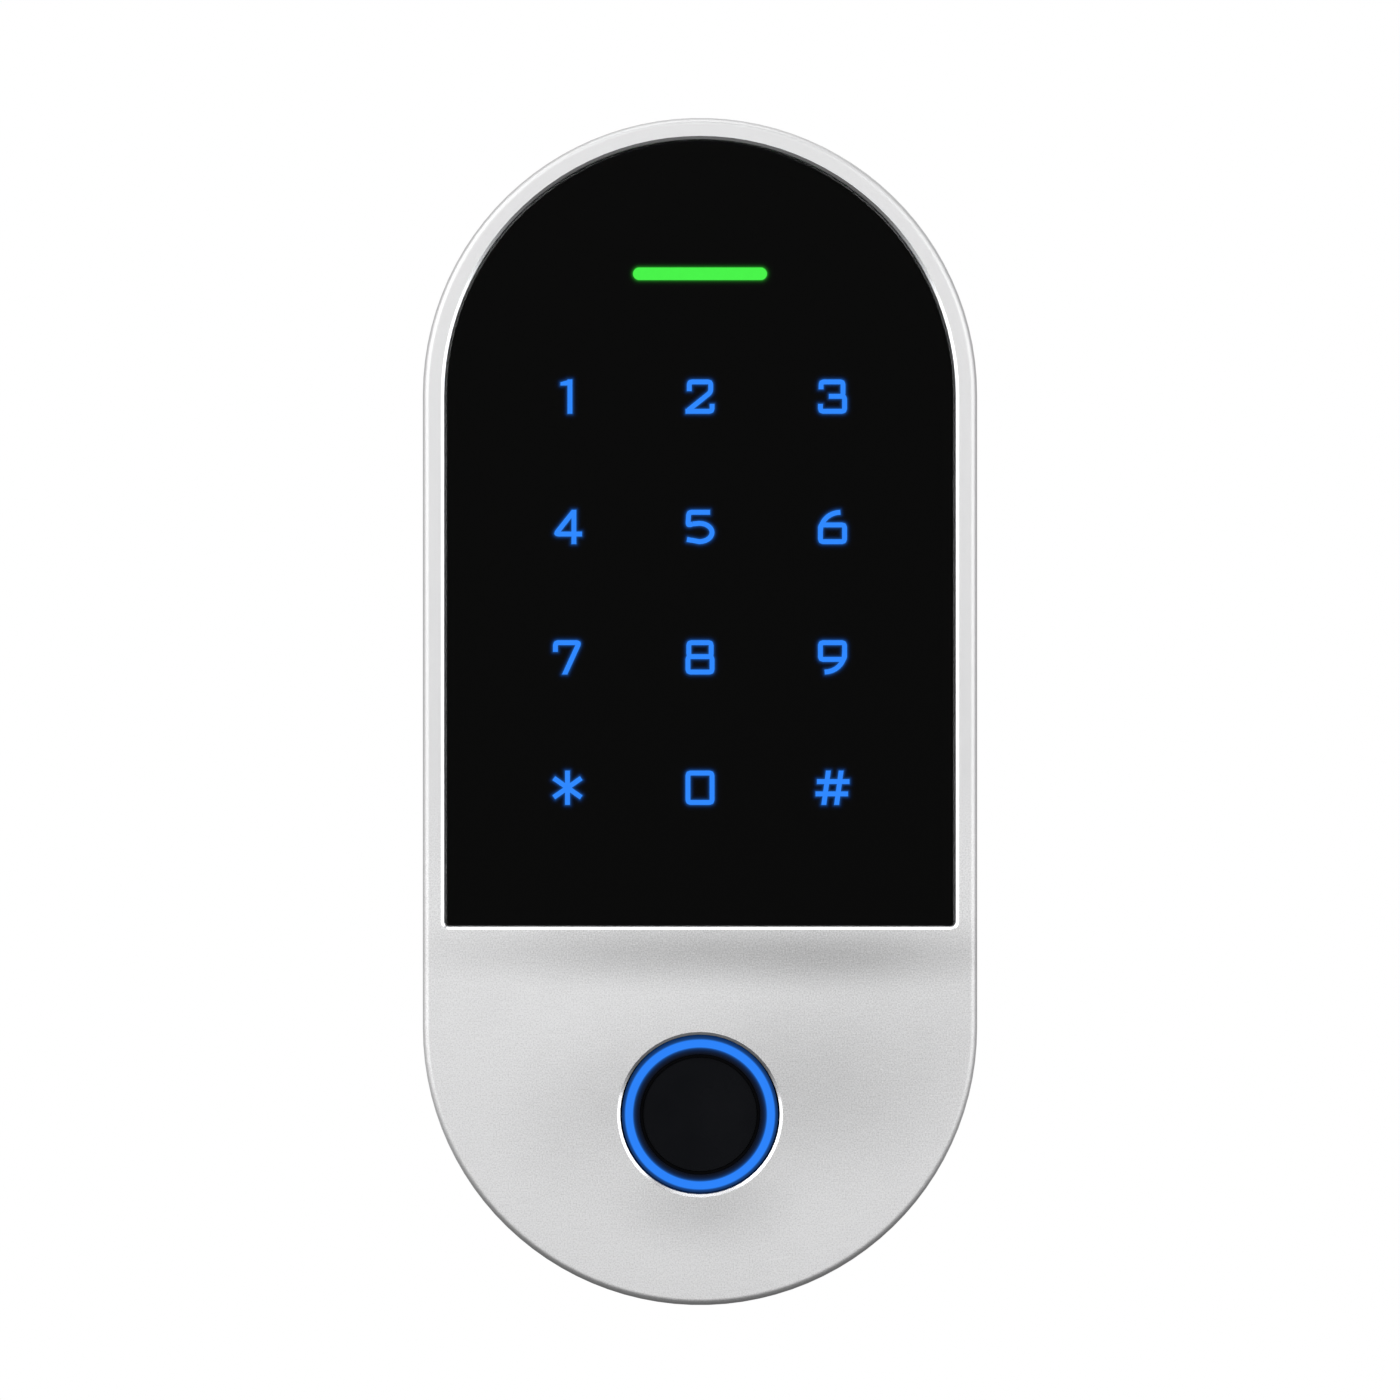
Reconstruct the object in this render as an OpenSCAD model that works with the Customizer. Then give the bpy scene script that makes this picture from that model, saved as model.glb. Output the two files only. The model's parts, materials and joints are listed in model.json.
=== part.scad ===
// Wall-mounted fingerprint terminal with a lit touch keypad.
// A metal case hangs on a hooked wall plate and is locked by a set screw from below.
// Each part is drawn lying on its back: X right, Y up the wall, Z the depth out of the wall.
// upright() then stands it on the wall, so the finished frame has +Z up and the front at -Y.

/* [Case] */
// Width of the case
case_w = 60; // [57:0.5:72]
// Height of the case
case_h = 128.5; // [125:0.5:155]
// Depth from the wall to the front face
case_d = 24; // [23:0.5:30]
// Thickness of the side wall around the boards
wall_t = 3.5; // [3:0.1:4]
// Thickness of the rear skirt around the wall plate
skirt_t = 2; // [1.5:0.1:2.4]
// Thickness of the front wall around the sensor
front_t = 2.2; // [1.8:0.1:2.8]
// Gap between the case's rear rim and the wall
wall_gap = 1; // [0.6:0.1:1.2]
// Round on the outer front edge
edge_r = 0.7; // [0.3:0.1:1]
// Metal rim between the lens and the outside of the case
rim_w = 2.4; // [2.1:0.1:3]
// Chamfer on the lens window and the sensor hole
chamfer = 0.3; // [0.1:0.05:0.5]

/* [Lens] */
// Height of the lens from its straight bottom edge to the top of its arch
lens_h = 85.05; // [83:0.5:88]
// Thickness of the lens glass
lens_t = 1.5; // [1:0.1:2]
// Bevel on the lens's front edge
lens_bevel = 0.2; // [0.1:0.05:0.4]
// How far the lens lies below the front face
lens_sink = 0.15; // [0.05:0.05:0.4]
// Gap between the lens and its window
lens_gap = 0.1; // [0.05:0.05:0.2]
// Round on the lens's two bottom corners
lens_corner_r = 0.5; // [0.3:0.1:1.5]
// Thickness of the printed film behind the lens
film_t = 0.15; // [0.1:0.05:0.3]
// Thickness of the adhesive frame
tape_t = 0.25; // [0.15:0.05:0.4]
// Thickness of the metal ledge that carries the lens
ledge_t = 1.5; // [1.2:0.1:2]

/* [Keypad] */
// Distance between key columns
key_pitch_x = 14.35; // [12:0.05:15]
// Distance between key rows
key_pitch_z = 14.12; // [12:0.02:15]
// Distance from the top of the case to the first row of keys
key_drop = 30.15; // [29:0.05:32]
// Width of a digit
glyph_w = 3.13; // [2:0.01:4]
// Height of a digit
glyph_h = 3.7; // [2.4:0.1:5]
// Width of the digits' strokes
stroke_w = 0.52; // [0.35:0.01:0.7]
// Side of the light well behind a key
well = 7.6; // [6:0.1:9]
// Length of the status bar
bar_w = 14.5; // [8:0.5:20]
// Height of the status bar
bar_h = 1.35; // [1:0.05:2]
// Distance from the top of the case to the status bar
bar_drop = 16.85; // [15.5:0.05:18]

/* [Fingerprint sensor] */
// Distance from the bottom of the case to the sensor's centre
sensor_rise = 20.65; // [20:0.05:23]
// Radius of the sensing disc
disc_r = 6.15; // [5:0.05:7]
// Thickness of the disc
disc_t = 1.2; // [0.8:0.1:1.6]
// How far the disc lies below the front face
disc_sink = 0.45; // [0.2:0.05:0.8]
// Thickness of the black tube between the disc and the light ring
tube_t = 0.27; // [0.2:0.01:0.4]
// Outer radius of the light ring
ring_r = 8.45; // [8.3:0.05:10.2]
// How far the light ring lies below the front face
ring_sink = 0.3; // [0.1:0.05:0.6]
// Width of the housing's flange behind the front wall
flange_w = 2; // [1.6:0.1:2.6]
// Thickness of the housing's flange
flange_t = 2.5; // [2:0.1:3]
// Thickness of the seal in front of the flange
seal_t = 0.5; // [0.3:0.1:0.8]
// Thickness of the clamping bracket
bracket_t = 1; // [0.8:0.1:1.5]
// Distance from the sensor's centre to each bracket screw
bracket_reach = 15.5; // [15:0.1:17]

/* [Boards] */
// Thickness of the keypad board
keypad_board_t = 1.2; // [0.8:0.1:1.6]
// Thickness of the main board
main_board_t = 1.6; // [1:0.1:2]
// Thickness of the sensor board
sensor_board_t = 0.8; // [0.6:0.1:1]
// Height of the bosses in front of the keypad board
boss_t = 1.4; // [1.2:0.1:2]
// Space between the rear cover and the main board
rear_space = 2.8; // [2.6:0.1:3.4]
// Gap between a board's edge and the case
board_gap = 0.6; // [0.3:0.1:1]
// Distance from the cavity's side to each board screw
board_screw_inset = 3.9; // [3.6:0.1:4.1]

/* [Rear cover and wall plate] */
// Thickness of the rear cover
cover_t = 1.8; // [1.6:0.1:2.2]
// Compressed thickness of the cover's seal
cover_seal_t = 0.6; // [0.4:0.1:0.8]
// Thickness of the wall plate
plate_t = 1.5; // [1.2:0.1:1.6]
// Space for wires between the wall plate and the rear cover
wire_space = 4.7; // [4.6:0.1:6]
// Gap between the wall plate and the case's skirt
plate_gap = 0.6; // [0.4:0.1:1]
// Distance between the two wall screws of a single-gang box
gang_pitch = 83.3; // [80:0.1:86]
// Radius of the single-gang screw holes
gang_hole_r = 2.25; // [2:0.05:2.5]
// Distance between the two screws of a round wall box
round_pitch = 60; // [58:0.5:62]
// Radius of the round wall box's screw holes
round_hole_r = 1.8; // [1.6:0.05:2]
// Width of the cable opening in the wall plate
cable_slot_w = 18; // [14:0.5:20]
// Radius of the bore through the cable grommet
grommet_bore_r = 3; // [2:0.1:3.4]
// Distance of the cable grommet below the middle of the case
grommet_drop = 15; // [14:0.5:15.5]
// Width of the hook on the wall plate
tab_w = 12; // [8:0.5:13]

/* [Fasteners] */
// Radius of the lock screw
lock_r = 1.45; // [1.2:0.05:1.5]
// Length of the lock screw
lock_length = 6; // [5:0.5:6]
// Radius of the board and bracket screws
small_screw_r = 1; // [0.8:0.05:1.1]
// Radius of the rear cover's screws
cover_screw_r = 1.2; // [1:0.05:1.25]
// Radial clearance of a screw in its threaded hole
thread_gap = 0.05; // [0.03:0.01:0.1]
// Radial clearance of a screw in a plain hole
hole_gap = 0.15; // [0.1:0.05:0.3]
// Clearance between parts that slide into each other
slide_gap = 0.1; // [0.05:0.05:0.15]

/* [Hidden] */
case_r = case_w / 2;
half_straight = (case_h - case_w) / 2;
case_top = case_h / 2;
// Lap that makes solids that meet one solid, and takes cuts just past a face
lap = 0.01;
$fn = 96;

// Depths, counted from the wall
cover_rear = plate_t + wire_space;
cover_front = cover_rear + cover_t;
land_depth = cover_front + cover_seal_t;
main_rear = cover_front + rear_space;
main_front = main_rear + main_board_t;
lens_front = case_d - lens_sink;
lens_rear = lens_front - lens_t;
film_rear = lens_rear - film_t;
ledge_front = film_rear - tape_t;
ledge_rear = ledge_front - ledge_t;
keypad_front = ledge_rear - boss_t;
keypad_rear = keypad_front - keypad_board_t;
front_rear = case_d - front_t;
disc_front = case_d - disc_sink;
ring_front = case_d - ring_sink;
flange_front = front_rear - seal_t;
flange_rear = flange_front - flange_t;
floor_front = flange_rear + 1;
sensor_board_rear = flange_rear - sensor_board_t;
bracket_rear = flange_rear - bracket_t;

// Outlines that follow the case's two round ends
cavity_r = case_r - wall_t;
skirt_r = case_r - skirt_t;
lens_r = case_r - rim_w;
window_r = lens_r + lens_gap;
window_corner_r = lens_corner_r + lens_gap;
board_r = cavity_r - board_gap;
plate_r = skirt_r - plate_gap;
cover_r = skirt_r - 2 * slide_gap;
lens_bottom = half_straight + lens_r - lens_h;
window_bottom = lens_bottom - lens_gap;

// Key and status bar places
row_0 = case_top - key_drop;
row_3 = row_0 - 3 * key_pitch_z;
bar_up = case_top - bar_drop;
function key_place(column, row) = [(column - 1) * key_pitch_x, row_0 - row * key_pitch_z];

// Opening in the ledge behind the lens, which the light guide fills
guide_margin = 1.6;
opening_x = key_pitch_x + well / 2 + guide_margin;
opening_bottom = row_3 - well / 2 - guide_margin;
opening_top = bar_up + bar_h / 2 + 2 * guide_margin;
opening_cut = 6;

// Cover screws: one each side, and two at each round end
cover_boss_r = 2.3;
cover_boss_reach = cavity_r - cover_boss_r + 0.1;
cover_boss_angle = 35;
cover_boss_side_up = 8;
cover_head_r = 2.2;
cover_head_t = 1.2;
cover_screw_depth = 6.5;
cover_screw_places = [
    for (side = [-1, 1]) [side * cover_boss_reach, cover_boss_side_up],
    for (side = [-1, 1], end = [-1, 1])
        [side * cover_boss_reach * sin(cover_boss_angle),
            end * (half_straight + cover_boss_reach * cos(cover_boss_angle))]
];

// Boards
notch_r = cover_boss_r + board_gap;
grommet_up = -grommet_drop;
grommet_body_r = grommet_bore_r + 1.4;
grommet_flange_r = grommet_body_r + 1.4;
main_bottom = grommet_up + grommet_flange_r + 0.6;
main_top = half_straight + 16;
keypad_bottom = lens_bottom - 1.3;
board_boss_r = 2;
standoff_flats = 4.6;
standoff_stud_r = small_screw_r;
small_head_r = 1.9;
small_head_t = 1.3;
drive_depth = 0.6;
drive_w = 0.5;
drive_reach = 2.6;
board_screw_x = cavity_r - board_screw_inset;
board_screw_places = [
    for (side = [-1, 1], up = [main_bottom + 3.5, half_straight + 3.75]) [side * board_screw_x, up]
];
led_size = [1.8, 1, 0.7];
socket_t = 2.8;
socket_place = [13, 22];
link_size = [10, 4.6];
link_pins = 6;
link_pitch = 1.4;
header_size = [12, 6, 4.2];
header_place = [13, main_bottom + 4.5];
capacitor_places = [for (row = [0 : 2]) [-16, main_bottom + 11 + 8 * row]];

// Fingerprint sensor
sensor_up = -case_top + sensor_rise;
sensor_hole_r = ring_r + 2 * slide_gap;
tube_inner_r = disc_r + slide_gap / 2;
ring_inner_r = tube_inner_r + tube_t + slide_gap / 2;
flange_r = ring_r + flange_w;
sensor_board_r = ring_r - 0.25;
sensor_led_reach = (ring_inner_r + ring_r) / 2;
sensor_led_count = 6;
post_r = 2.5;
lower_cavity_top = window_bottom - 2.5;
ribbon_w = 5;
ribbon_t = 0.3;
ribbon_plug = [6.5, 3.2, 1.6];
ribbon_plug_up = sensor_up + sensor_board_r - 3.4;
ribbon_socket = [7.5, 4, 1.8];

// Tilting axis at the top, and the hook that carries the case
axis_up = half_straight + skirt_r;
rib_bottom = axis_up - 3.25;
rib_rear = plate_t + 0.4;
rib_t = 1;
rib_w = tab_w - 2;
hook_top = axis_up - 1.45;
hook_arm_top = rib_bottom - 0.2;
hook_rear = rib_rear + rib_t + 1.2;
hook_front = hook_rear + 1.4;

// Lock screw at the bottom, its boss in the case and its strap on the wall plate
lock_depth = plate_t + 1.8;
lock_boss_w = 8;
lock_boss_top = -case_top + 7;
lock_boss_front = cover_rear - 0.6;
lock_recess = 1;
lock_tip = 0.55;
lock_socket_r = 0.85;
lock_socket_depth = 1.6;
strap_bottom = lock_boss_top + 0.65;
strap_front = cover_rear - 0.5;
strap_t = strap_front - lock_depth - lock_r - 2 * slide_gap;
strap_h = 3;
strap_w = 2 * (lock_r + 0.75 + strap_t);
strap_foot = 3;
notch_w = lock_boss_w + 2 * plate_gap;
notch_gap = 0.2;
lance_h = 5;

// Cable opening in the wall plate, from above the middle down to the grommet
cable_slot_top = 12;
cable_slot_bottom = grommet_up - cable_slot_w / 2;
cable_slot_middle = (cable_slot_top + cable_slot_bottom) / 2;
cable_slot_reach = (cable_slot_top - cable_slot_bottom - cable_slot_w) / 2;

// Tamper switch and its plunger
tamper_place = [-17, 31];
plunger_r = 1;
collar_r = 1.6;
collar_t = 0.6;
collar_rear = cover_front + 0.7;
plunger_rear = plate_t + hole_gap;
tamper_body = [6.2, 6.2, 1.6];

// Digits are lines through the middles of their strokes, on a box from -1 to 1 both ways
mid_x = (glyph_w - stroke_w) / 2;
mid_y = (glyph_h - stroke_w) / 2;
edge = glyph_h / 2 / mid_y;
side_edge = glyph_w / 2 / mid_x;
bend_r = 0.28;
function box_line(x, bottom, top) =
    [[0, top], [x, top], [x, bottom], [-x, bottom], [-x, top], [0, top]];
arc_steps = 8;
function arc_line(middle, x, y, from, to, count) =
    [for (i = [0 : count]) let (a = from + (to - from) * i / count) middle + [x * cos(a), y * sin(a)]];
function turned(lines) = [for (line = lines) [for (point = line) -point]];
six = [box_line(1, -1, 0.14), arc_line([0.65, -0.3], 1.65, 1.3, 180, 90, arc_steps)];
star_turn = 35;
star_x = 1.14 * cos(star_turn) * mid_y / mid_x;
star_y = 1.14 * sin(star_turn);
hash_x = 1.12 * side_edge;
hash_reach = 0.53;
slant = 0.163;
past_edge = edge + 0.15;
KEYS = [
    ["1", 0, 0, [[[0.2, -edge], [0.2, edge]]]],
    ["2", 1, 0, [[[-0.89, 0.38], [-0.89, 1], [0.89, 1], [0.89, 0.3], [-0.97, -0.93]],
        [[-side_edge, -1], [1, -1], [1, -0.5]]]],
    ["3", 2, 0, [[[-0.95, 0.5], [-0.95, 1], [0.87, 1], [0.87, 0.02], [-0.3, 0.02]],
        [[0, 0.02], [1, 0.02], [1, -1], [-1, -1], [-1, -0.5]]]],
    ["4", 0, 1, [[[side_edge, -0.48], [-0.98, -0.48], [0.47, 1.02]], [[0.53, -edge], [0.53, edge]]]],
    ["5", 1, 1, [[[0.83, 1], [-0.93, 1], [-1, 0.1], [-0.6, 0.21]],
        concat([[-0.6, 0.21]], arc_line([-0.05, -0.375], 1.05, 0.625, 90, -90, arc_steps + 4),
            [[-1.08, -0.85]])]],
    ["6", 2, 1, six],
    ["7", 0, 2, [[[-1, 0.38], [-1, 1], [0.97, 1], [-0.32, -past_edge]]]],
    ["8", 1, 2, [box_line(0.93, 0.05, 1), box_line(1, -1, 0.05)]],
    ["9", 2, 2, turned(six)],
    ["star", 0, 3, [[[0, -edge], [0, edge]], [[-star_x, -star_y], [star_x, star_y]],
        [[-star_x, star_y], [star_x, -star_y]]]],
    ["0", 1, 3, [box_line(1, -1, 1)]],
    ["hash", 2, 3, [
        for (side = [-1, 1])
            [[side * hash_reach - slant * past_edge, -past_edge],
                [side * hash_reach + slant * past_edge, past_edge]],
        for (side = [-1, 1]) [[-hash_x + side * 0.06, side * 0.42], [hash_x + side * 0.06, side * 0.42]]
    ]]
];
one_flag = [[-0.58, 0.76], [0.12, 0.76], [0.12, 1.14], [-0.58, 0.97]];

// Stands what is drawn on its back up against the wall
module upright() {
    rotate([90, 0, 0]) children();
}

// A flat outline given thickness between two depths
module level(rear, front) {
    translate([0, 0, rear]) linear_extrude(front - rear) children();
}

// A side profile, drawn as height and depth, given a width across the case
module across(width) {
    translate([-width / 2, 0, 0]) rotate([90, 0, 90]) linear_extrude(width) children();
}

// A block by its middle, its rear depth and its size
module block(place, rear, size) {
    translate([place.x - size.x / 2, place.y - size.y / 2, rear]) cube(size);
}

// A round bar between two depths
module bar(place, radius, rear, front) {
    translate([place.x, place.y, rear]) cylinder(r = radius, h = front - rear);
}

// A pill outline that follows the case at a given end radius
module pill_2d(radius) {
    for (end = [-1, 1]) translate([0, end * half_straight]) circle(radius);
    translate([-radius, -half_straight]) square([2 * radius, 2 * half_straight]);
}

// A profile of radius and depth, carried all round the pill
module pill_sweep() {
    for (turn = [0, 180])
        rotate(turn) translate([0, half_straight, 0]) rotate_extrude(angle = 180) children();
    rotate([90, 0, 0]) linear_extrude(2 * half_straight, center = true) {
        children();
        mirror([1, 0]) children();
    }
}

// An outline with an arched top and a straight bottom edge with rounded corners
module arch_2d(radius, bottom, corner) {
    translate([0, half_straight]) circle(radius);
    translate([-radius, bottom + corner]) square([2 * radius, half_straight - bottom - corner]);
    translate([corner - radius, bottom]) square([2 * (radius - corner), half_straight - bottom]);
    for (side = [-1, 1]) translate([side * (radius - corner), bottom + corner]) circle(corner);
}

// The same outline between two depths, with its edge moved outwards by grow at the front
module arch_bevel(radius, bottom, corner, rear, front, grow) {
    deep = front - rear;
    translate([0, half_straight, rear]) cylinder(r1 = radius, r2 = radius + grow, h = deep);
    for (side = [-1, 1])
        translate([side * (radius - corner), bottom + corner, rear])
            cylinder(r1 = corner, r2 = corner + grow, h = deep);
    translate([0, half_straight, 0]) rotate([90, 0, 0])
        linear_extrude(half_straight - bottom - corner)
            polygon([[-radius, rear], [radius, rear], [radius + grow, front], [-radius - grow, front]]);
    across(2 * (radius - corner))
        polygon([[bottom, rear], [half_straight, rear], [half_straight, front], [bottom - grow, front]]);
}

// The opening in the ledge, with its top corners cut to stay inside the arch
module opening_2d(grow) {
    x = opening_x + grow;
    top = opening_top + grow;
    bottom = opening_bottom - grow;
    polygon([[-x, bottom], [x, bottom], [x, top - opening_cut], [x - opening_cut, top],
        [opening_cut - x, top], [-x, top - opening_cut]]);
}

module bar_2d(grow) {
    r = bar_h / 2 + grow;
    reach = (bar_w - bar_h) / 2;
    translate([0, bar_up]) {
        translate([-reach, -r]) square([2 * reach, 2 * r]);
        for (side = [-1, 1]) translate([side * reach, 0]) circle(r, $fn = 32);
    }
}

// A line of points with each corner replaced by a short bend
function unit(v) = v / norm(v);
function bent(points, r) = [
    points[0],
    for (i = [1 : len(points) - 2])
        let (before = points[i] + r * unit(points[i - 1] - points[i]),
            after = points[i] + r * unit(points[i + 1] - points[i]))
            each [before, (before + after) / 4 + points[i] / 2, after],
    points[len(points) - 1]
];

module stroke(points, width) {
    for (i = [1 : len(points) - 1]) {
        run = points[i] - points[i - 1];
        translate(points[i - 1]) rotate(atan2(run.y, run.x))
            translate([0, -width / 2]) square([norm(run), width]);
    }
    for (i = [1 : len(points) - 2]) translate(points[i]) circle(d = width, $fn = 12);
}

function scaled(points) = [for (point = points) [point.x * mid_x, point.y * mid_y]];

module legend_2d(key) {
    translate(key_place(key[1], key[2])) intersection() {
        union() {
            for (line = key[3]) {
                points = scaled(line);
                corners = len(points) > 2 && len(points) < arc_steps;
                stroke(corners ? bent(points, bend_r) : points, stroke_w);
            }
            if (key[0] == "1") polygon(scaled(one_flag));
        }
        square([2 * glyph_w, glyph_h], center = true);
    }
}

// Screw head with a cross recess, seen from the rear
module cross_recess(rear, depth) {
    for (turn = [0, 90]) rotate(turn) block([0, 0], rear, [drive_reach, drive_w, depth]);
}

module pan_screw(place, head_rear, tip) {
    translate([place.x, place.y, 0]) difference() {
        union() {
            bar([0, 0], small_head_r, head_rear, head_rear + small_head_t);
            bar([0, 0], small_screw_r, head_rear, tip);
        }
        cross_recess(head_rear - lap, drive_depth);
    }
}

module wall_plate() {
    color("silver") upright() difference() {
        union() {
            level(0, plate_t) pill_2d(plate_r);
            across(tab_w)
                polygon([[hook_arm_top - plate_t, 0], [hook_arm_top - plate_t, hook_front],
                    [hook_top, hook_front], [hook_top, hook_rear],
                    [hook_arm_top, hook_rear], [hook_arm_top, 0]]);
        }
        level(-lap, plate_t + lap) {
            for (side = [-1, 1]) {
                translate([0, side * gang_pitch / 2]) circle(gang_hole_r);
                translate([0, side * round_pitch / 2]) circle(round_hole_r);
            }
            for (end = [-1, 1])
                translate([0, cable_slot_middle + end * cable_slot_reach]) circle(cable_slot_w / 2);
            translate([-cable_slot_w / 2, cable_slot_middle - cable_slot_reach])
                square([cable_slot_w, 2 * cable_slot_reach]);
            translate([-tab_w / 2, hook_arm_top - plate_t - lance_h]) square([tab_w, lance_h]);
            translate([-notch_w / 2, -case_top]) square([notch_w, strap_bottom - notch_gap + case_top]);
        }
    }
}

// Hat-shaped strap welded to the wall plate; the lock screw rises between its arms
module lock_strap() {
    color("silver") upright() translate([0, strap_bottom, 0]) rotate([-90, 0, 0])
        linear_extrude(strap_h) mirror([0, 1]) difference() {
            union() {
                translate([-strap_w / 2 - strap_foot, plate_t]) square([strap_w + 2 * strap_foot, strap_t]);
                translate([-strap_w / 2, plate_t]) square([strap_w, strap_front - plate_t]);
            }
            translate([strap_t - strap_w / 2, plate_t - lap])
                square([strap_w - 2 * strap_t, strap_front - strap_t - plate_t + lap]);
        }
}

// Outer skin of the case as radius and depth, with its round front edge
module case_profile() {
    translate([0, wall_gap]) square([case_r - edge_r, case_d - wall_gap]);
    translate([0, wall_gap]) square([case_r, case_d - edge_r - wall_gap]);
    translate([case_r - edge_r, case_d - edge_r]) circle(edge_r, $fn = 32);
}

module case_inside() {
    level(wall_gap - lap, land_depth) pill_2d(skirt_r);
    level(land_depth - lap, ledge_rear) pill_2d(cavity_r);
    level(ledge_rear - lap, front_rear) intersection() {
        pill_2d(cavity_r);
        translate([-case_r, -case_h]) square([case_w, case_h + lower_cavity_top]);
    }
}

module case_bosses() {
    for (place = cover_screw_places)
        bar(place, cover_boss_r, cover_front, (place.y < lower_cavity_top ? front_rear : ledge_rear) + lap);
    for (place = board_screw_places) bar(place, board_boss_r, keypad_front, ledge_rear + lap);
    for (side = [-1, 1]) bar([side * bracket_reach, sensor_up], post_r, flange_rear, front_rear + lap);
    translate([-rib_w / 2, rib_bottom, rib_rear]) cube([rib_w, axis_up - rib_bottom + skirt_t / 2, rib_t]);
    translate([-lock_boss_w / 2, skirt_t / 2 - case_top, wall_gap])
        cube([lock_boss_w, lock_boss_top + case_top - skirt_t / 2, lock_boss_front - wall_gap]);
}

module front_case() {
    color("lightgray") upright() difference() {
        union() {
            difference() {
                pill_sweep() case_profile();
                case_inside();
            }
            case_bosses();
        }
        level(ledge_front, case_d + lap) arch_2d(window_r, window_bottom, window_corner_r);
        arch_bevel(window_r, window_bottom, window_corner_r, case_d - chamfer, case_d + lap, chamfer + lap);
        level(ledge_rear - lap, ledge_front + lap) opening_2d(0);
        translate([0, sensor_up, 0]) {
            bar([0, 0], sensor_hole_r, front_rear - lap, case_d + lap);
            translate([0, 0, case_d - chamfer])
                cylinder(r1 = sensor_hole_r, r2 = sensor_hole_r + chamfer + lap, h = chamfer + lap);
        }
        for (place = cover_screw_places)
            bar(place, cover_screw_r + thread_gap, cover_front - lap, cover_front + cover_screw_depth + 1);
        for (place = board_screw_places)
            bar(place, standoff_stud_r + thread_gap, keypad_front - lap, ledge_front - 0.5);
        for (side = [-1, 1])
            bar([side * bracket_reach, sensor_up], small_screw_r + thread_gap,
                flange_rear - lap, front_rear);
        translate([0, -case_top - lap, lock_depth]) rotate([-90, 0, 0])
            cylinder(r = lock_r + thread_gap, h = lock_boss_top + case_top + 2 * lap);
    }
}

module touch_lens() {
    color("black") upright() {
        level(lens_rear, lens_front - lens_bevel) arch_2d(lens_r, lens_bottom, lens_corner_r);
        arch_bevel(lens_r, lens_bottom, lens_corner_r, lens_front - lens_bevel, lens_front, -lens_bevel);
    }
}

module film_2d() {
    arch_2d(lens_r - slide_gap, lens_bottom + slide_gap, lens_corner_r);
}

module lens_adhesive() {
    color("gray") upright() level(ledge_front, film_rear) difference() {
        film_2d();
        opening_2d(2 * slide_gap);
    }
}

module legend_film() {
    color("black") upright() level(film_rear, lens_rear) difference() {
        film_2d();
        for (key = KEYS) legend_2d(key);
        bar_2d(0);
    }
}

module legend(key) {
    color("dodgerblue") upright() level(film_rear, lens_rear) legend_2d(key);
}

module status_light_bar() {
    color("lime") upright() level(keypad_front + led_size.z + 2 * slide_gap, lens_rear) bar_2d(0);
}

module light_guide() {
    color("dimgray") upright() level(keypad_front, film_rear) difference() {
        opening_2d(-2 * slide_gap);
        for (key = KEYS) translate(key_place(key[1], key[2]) - [well, well] / 2) square(well);
        bar_2d(slide_gap);
    }
}

// Board outline with notches around the cover bosses, between two heights
module board_2d(bottom, top) {
    difference() {
        intersection() {
            pill_2d(board_r);
            translate([-case_r, bottom]) square([case_w, top - bottom]);
        }
        for (place = cover_screw_places) translate(place) circle(notch_r);
        for (place = board_screw_places) translate(place) circle(standoff_stud_r + hole_gap);
    }
}

module keypad_board() {
    color("darkgreen") upright() level(keypad_rear, keypad_front) board_2d(keypad_bottom, case_top);
}

module key_leds() {
    color("ivory") upright() for (key = KEYS) block(key_place(key[1], key[2]), keypad_front, led_size);
}

module status_leds() {
    color("ivory") upright() for (i = [-1 : 1]) block([i * bar_w / 3, bar_up], keypad_front, led_size);
}

module touch_controller() {
    color("darkslategray") upright() block([0, row_0 - 1.7 * key_pitch_z], keypad_rear - 0.9, [7, 7, 0.9]);
}

// The two halves of the link between the boards: pins in the plug, hollows in the socket
module link_pins_2d(grow) {
    for (i = [0 : link_pins - 1], row = [-1, 1])
        translate(socket_place + [(i - (link_pins - 1) / 2) * link_pitch, row * 1.1])
            square(0.5 + 2 * grow, center = true);
}

module board_socket() {
    color("black") upright() difference() {
        block(socket_place, main_front, [link_size.x, link_size.y, socket_t]);
        level(main_front + 0.8, main_front + socket_t + lap) link_pins_2d(slide_gap);
    }
}

module board_plug() {
    color("goldenrod") upright() {
        block(socket_place, main_front + socket_t,
            [link_size.x, link_size.y, keypad_rear - main_front - socket_t]);
        level(main_front + 1, main_front + socket_t + lap) link_pins_2d(0);
    }
}

module board_standoffs() {
    color("gold") upright() for (place = board_screw_places) difference() {
        union() {
            translate([place.x, place.y, main_front])
                cylinder(d = standoff_flats / cos(30), h = keypad_rear - main_front, $fn = 6);
            bar(place, standoff_stud_r, keypad_rear - lap, ledge_front - 0.8);
        }
        bar(place, small_screw_r + thread_gap, main_front - lap, main_front + 4.2);
    }
}

module main_board() {
    color("darkgreen") upright() level(main_rear, main_front) board_2d(main_bottom, main_top);
}

module board_screws() {
    color("silver") upright()
        for (place = board_screw_places) pan_screw(place, main_rear - small_head_t, main_front + 4);
}

module processor() {
    color("darkslategray") upright() block([0, half_straight - 13], main_front, [10, 10, 1.2]);
}

module door_relay() {
    color("orange") upright() {
        block([-9, half_straight + 6], main_front, [15, 8, 0.6]);
        block([-9, half_straight + 6], main_front + 0.6 - lap, [14.4, 7.4, 4.2]);
    }
}

module buzzer() {
    color("black") upright() difference() {
        bar([11, half_straight + 5], 4.8, main_front, main_front + 3.2);
        bar([11, half_straight + 5], 0.9, main_front + 2, main_front + 3.2 + lap);
    }
}

module capacitors() {
    color("silver") upright() for (place = capacitor_places) {
        block(place, main_front, [6.4, 6.4, 0.9]);
        bar(place, 3, main_front + 0.9 - lap, main_front + 4.9);
    }
}

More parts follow.
